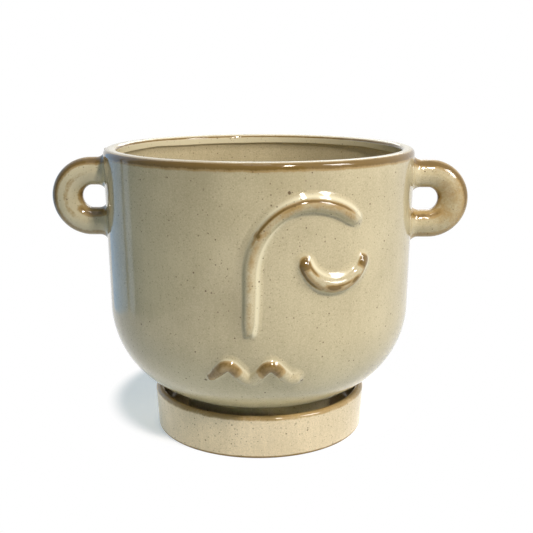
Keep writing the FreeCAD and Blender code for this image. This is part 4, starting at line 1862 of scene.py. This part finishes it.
@dataclass
class Studio:
    """White floor and background, lamps, boards that the glaze mirrors, and the photograph's camera."""

    image_pixels: float = 533.0
    focal_pixels: float = 902.34
    camera_place: Place = (0.0, -448.8 * MM, 184.0 * MM)
    camera_pitch: float = math.radians(12.86)
    camera_yaw: float = 0.0082
    floor_half: float = 6.0
    white: Colour = (1.0, 1.0, 1.0, 1.0)
    black: Colour = (0.0, 0.0, 0.0, 1.0)
    floor_glow: Colour = (0.40, 0.450, 0.475, 1.0)
    floor_paint: Colour = (0.84, 0.78, 0.74, 1.0)
    shadow_middle: Place = (0.0, 36.0 * MM, 0.0)
    shadow_reach: Span = (74.0 * MM, 86.0 * MM)
    sheet_paint: Colour = (0.76, 0.83, 0.86, 1.0)
    table_paint: Colour = (0.28, 0.29, 0.30, 1.0)
    sheet_reach: Span = (0.30, 0.50)
    ambient: Colour = (0.62, 0.97, 1.22, 1.0)
    ambient_strength: float = 0.085
    pot_target: Place = (0.0, 0.0, 70.0 * MM)
    saucer_target: Place = (0.0, 0.0, 8.0 * MM)
    foot_target: Place = (0.0, -37.0 * MM, 16.5 * MM)

    def camera(self) -> None:
        """Place the camera and make it the scene's own."""
        data = bpy.data.cameras.new("camera")
        data.lens = self.focal_pixels / self.image_pixels * data.sensor_width
        viewer = link_object("camera", data)
        viewer.location = self.camera_place
        viewer.rotation_euler = Euler((QUARTER - self.camera_pitch, 0.0, -self.camera_yaw))
        bpy.context.scene.camera = viewer

    @staticmethod
    def where_seen(sheet: NodeSheet, lighting: bpy.types.Node, shown: bpy.types.Node) -> Socket:
        """Show one shader to straight, mirrored and refracted rays, and light the scene by another.

        Args:
            sheet: The nodes that both are in.
            lighting: Shader that lights the scene.
            shown: Shader that is seen.

        Returns:
            The mixed shader.
        """
        rays = sheet.add("ShaderNodeLightPath").outputs
        mirrored = sheet.math("MAXIMUM", rays["Is Glossy Ray"], rays["Is Transmission Ray"])
        seen = sheet.math("MAXIMUM", rays["Is Camera Ray"], mirrored)
        inputs = {0: seen, 1: lighting.outputs[0], 2: shown.outputs[0]}
        return sheet.add("ShaderNodeMixShader", inputs).outputs[0]

    def world(self) -> None:
        """Soft light from all round, and a white background."""
        world = bpy.data.worlds.new("studio")
        world.use_nodes = True
        bpy.context.scene.world = world
        sheet = NodeSheet(world.node_tree)
        output = world.node_tree.nodes["World Output"]
        soft = sheet.add("ShaderNodeBackground", {"Color": self.ambient, "Strength": self.ambient_strength})
        white = sheet.add("ShaderNodeBackground", {"Color": self.white, "Strength": 1.0})
        sheet.feed(output.inputs["Surface"], self.where_seen(sheet, soft, white))

    def floor(self) -> None:
        """A white floor that keeps the shadow, and throws light back as a sheet on a darker table."""
        paint = bpy.data.materials.new("white_floor")
        paint.use_nodes = True
        sheet = NodeSheet(paint.node_tree)
        output = paint.node_tree.nodes["Material Output"]
        place = sheet.add("ShaderNodeTexCoord").outputs["Object"]
        on_table = sheet.span(sheet.distance(place, (0.0, 0.0, 0.0)), *self.sheet_reach)
        past_shadow = sheet.span(sheet.distance(place, self.shadow_middle), *self.shadow_reach)
        table = sheet.blend(on_table, self.sheet_paint, self.table_paint)
        bounce = sheet.add("ShaderNodeBsdfDiffuse", {"Color": table})
        shaded = sheet.blend(past_shadow, self.floor_paint, self.black)
        matt = sheet.add("ShaderNodeBsdfDiffuse", {"Color": shaded})
        shine = sheet.blend(past_shadow, self.floor_glow, self.white)
        glow = sheet.add("ShaderNodeEmission", {"Color": shine, "Strength": 1.0})
        lit = sheet.add("ShaderNodeAddShader", {0: matt.outputs[0], 1: glow.outputs[0]})
        sheet.feed(output.inputs["Surface"], self.where_seen(sheet, bounce, lit))
        half = self.floor_half
        corners = [(-half, -half, 0.0), (half, -half, 0.0), (half, half, 0.0), (-half, half, 0.0)]
        mesh = bpy.data.meshes.new("floor")
        mesh.from_pydata(corners, [], [(0, 1, 2, 3)])
        mesh.materials.append(paint)
        link_object("floor", mesh)

    def lamps(self) -> None:
        """Key lamp and soft box to the front right, and weak lamps that fill the other sides."""
        target = Vector(self.pot_target)
        key = Lamp(
            "key", azimuth=24.0, elevation=46.0, distance=1.3, size=(0.10, 0.14), watts=10.2,
            colour=(1.0, 0.925, 0.84),
        )
        soft_box = Lamp(
            "soft_box", azimuth=62.0, elevation=35.0, distance=1.0, size=(0.26, 0.32), watts=4.9,
            colour=(1.0, 0.985, 0.97),
        )
        side_fill = Lamp(
            "side_fill", azimuth=-62.0, elevation=9.0, distance=0.8, size=(0.30, 0.40), watts=0.25,
            colour=(0.80, 0.95, 1.0),
        )
        back_fill = Lamp(
            "back_fill", azimuth=172.0, elevation=30.0, distance=1.2, size=(0.50, 0.50), watts=2.2,
            colour=(0.93, 0.97, 1.0),
        )
        overhead = Lamp(
            "overhead", azimuth=-4.0, elevation=72.0, distance=1.2, size=(0.30, 0.12), watts=0.9,
            colour=(1.0, 0.98, 0.94),
        )
        for lamp in (key, soft_box, side_fill, back_fill, overhead):
            lamp.hang(target)

    def low_lamps(self, bowl: bpy.types.Object) -> None:
        """Two faint, narrow lamps into the gap between the saucer and the bowl.

        Args:
            bowl: The dressed bowl. The front one of the two lights nothing else.
        """
        low_side = Lamp(
            "low_side", azimuth=-80.0, elevation=1.5, distance=0.45, size=(0.10, 0.02), watts=0.0033,
            colour=(1.0, 1.0, 0.9), spread=math.radians(12.0), mirrored=False,
        )
        low_side.hang(Vector(self.saucer_target))
        low_front = Lamp(
            "low_front", azimuth=-8.0, elevation=20.0, distance=0.45, size=(0.12, 0.006), watts=0.0011,
            colour=(1.0, 0.98, 0.75), spread=math.radians(3.0), mirrored=False,
        )
        only = bpy.data.collections.new("lit_by_low_front")
        only.objects.link(bowl)
        low_front.hang(Vector(self.foot_target)).light_linking.receiver_collection = only

    def boards(self) -> None:
        """Bright and dim boards in a chain from the left round to the front."""
        start = (-0.191, 0.182)
        chain = (
            ("bright_wide", (-0.272, 0.068), (0.58, 0.82, 1.12, 1.0)),
            ("dim_bar", (-0.275, 0.0535), (0.22, 0.30, 0.36, 1.0)),
            ("bright_narrow", (-0.279, 0.022), (0.74, 0.96, 1.20, 1.0)),
            ("dim_left", (-0.261, -0.155), (0.20, 0.33, 0.42, 1.0)),
            ("dim_corner", (-0.220, -0.520), (0.26, 0.36, 0.44, 1.0)),
            ("dim_front", (0.060, -0.720), (0.32, 0.38, 0.42, 1.0)),
            ("dim_right", (0.400, -0.660), (0.36, 0.36, 0.35, 1.0)),
        )
        for name, end, colour in chain:
            Board(name, start, end, colour).stand()
            start = end

    def build(self, bowl: bpy.types.Object) -> None:
        """Set the whole studio up.

        Args:
            bowl: The dressed bowl, which has a lamp of its own.
        """
        bpy.context.scene.view_settings.view_transform = "Standard"
        self.camera()
        self.world()
        self.floor()
        self.boards()
        self.lamps()
        self.low_lamps(bowl)


def main() -> None:
    """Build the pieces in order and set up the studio."""
    logging.basicConfig(level=logging.INFO, format="%(message)s")
    effects = GlazeEffects()
    turned = TurnedForm()
    raised = ReliefForm()
    bowl = PotBowl()
    spots = (
        Spot(bowl.on_wall(reach=-24.6 * MM, height=44.5 * MM), radius=0.7 * MM),
        Spot(bowl.on_wall(reach=19.0 * MM, height=45.1 * MM), radius=0.7 * MM),
        Spot(bowl.on_wall(reach=12.7 * MM, height=130.1 * MM), radius=0.8 * MM),
    )
    pot_glaze = Glaze(
        "pot_glaze", cream=(0.460, 0.387, 0.235, 1.0), pale=(0.622, 0.530, 0.338, 1.0), spots=spots
    )
    saucer_glaze = Glaze(
        "saucer_glaze", cream=(0.630, 0.515, 0.332, 1.0), pale=(0.860, 0.705, 0.480, 1.0),
        seed=6.0, runs=0.16, coarse_share=1.0, fine_depth=0.65,
    )
    pot_finish = pot_glaze.material(effects)
    relief_finish = replace(pot_glaze, name="relief_glaze").material(effects)
    saucer_finish = saucer_glaze.material(effects)
    pot = bowl.build(turned, pot_finish)
    # The left ear's coat paints it paler and the right ear's heavier film paints it darker: painted light and
    # painted shade on one glaze.
    left = Ear(
        "left_ear_loop", "left_ear", Side.LEFT, standout=27.3 * MM, drop=24.8 * MM, film_and_painted_shade=0.10, coat=0.5
    )
    left.build(bowl, relief_finish)
    right = Ear(
        "right_ear_loop", "right_ear", Side.RIGHT, standout=28.8 * MM, drop=26.3 * MM, film_and_painted_shade=0.30, coat=0.0
    )
    right.build(bowl, relief_finish)
    BrowNoseCoil("brow_nose_relief", "brow_nose_coil", pool_curve=1.1).build(raised, bowl, relief_finish)
    eye = ClosedEyeCoil(
        "closed_eye_relief", "closed_eye_coil", pool_width=3.2 * MM, upper_pool=1.7 * MM, flatness=0.88
    )
    eye.build(raised, bowl, relief_finish)
    mouth = MouthCoil("mouth_relief", "mouth_coil", pool_width=2.2 * MM, upper_pool=0.9 * MM, soften=4)
    mouth.build(raised, bowl, relief_finish)
    Saucer().build(turned, saucer_finish)
    Studio().build(pot)


if __name__ == "__main__":
    main()
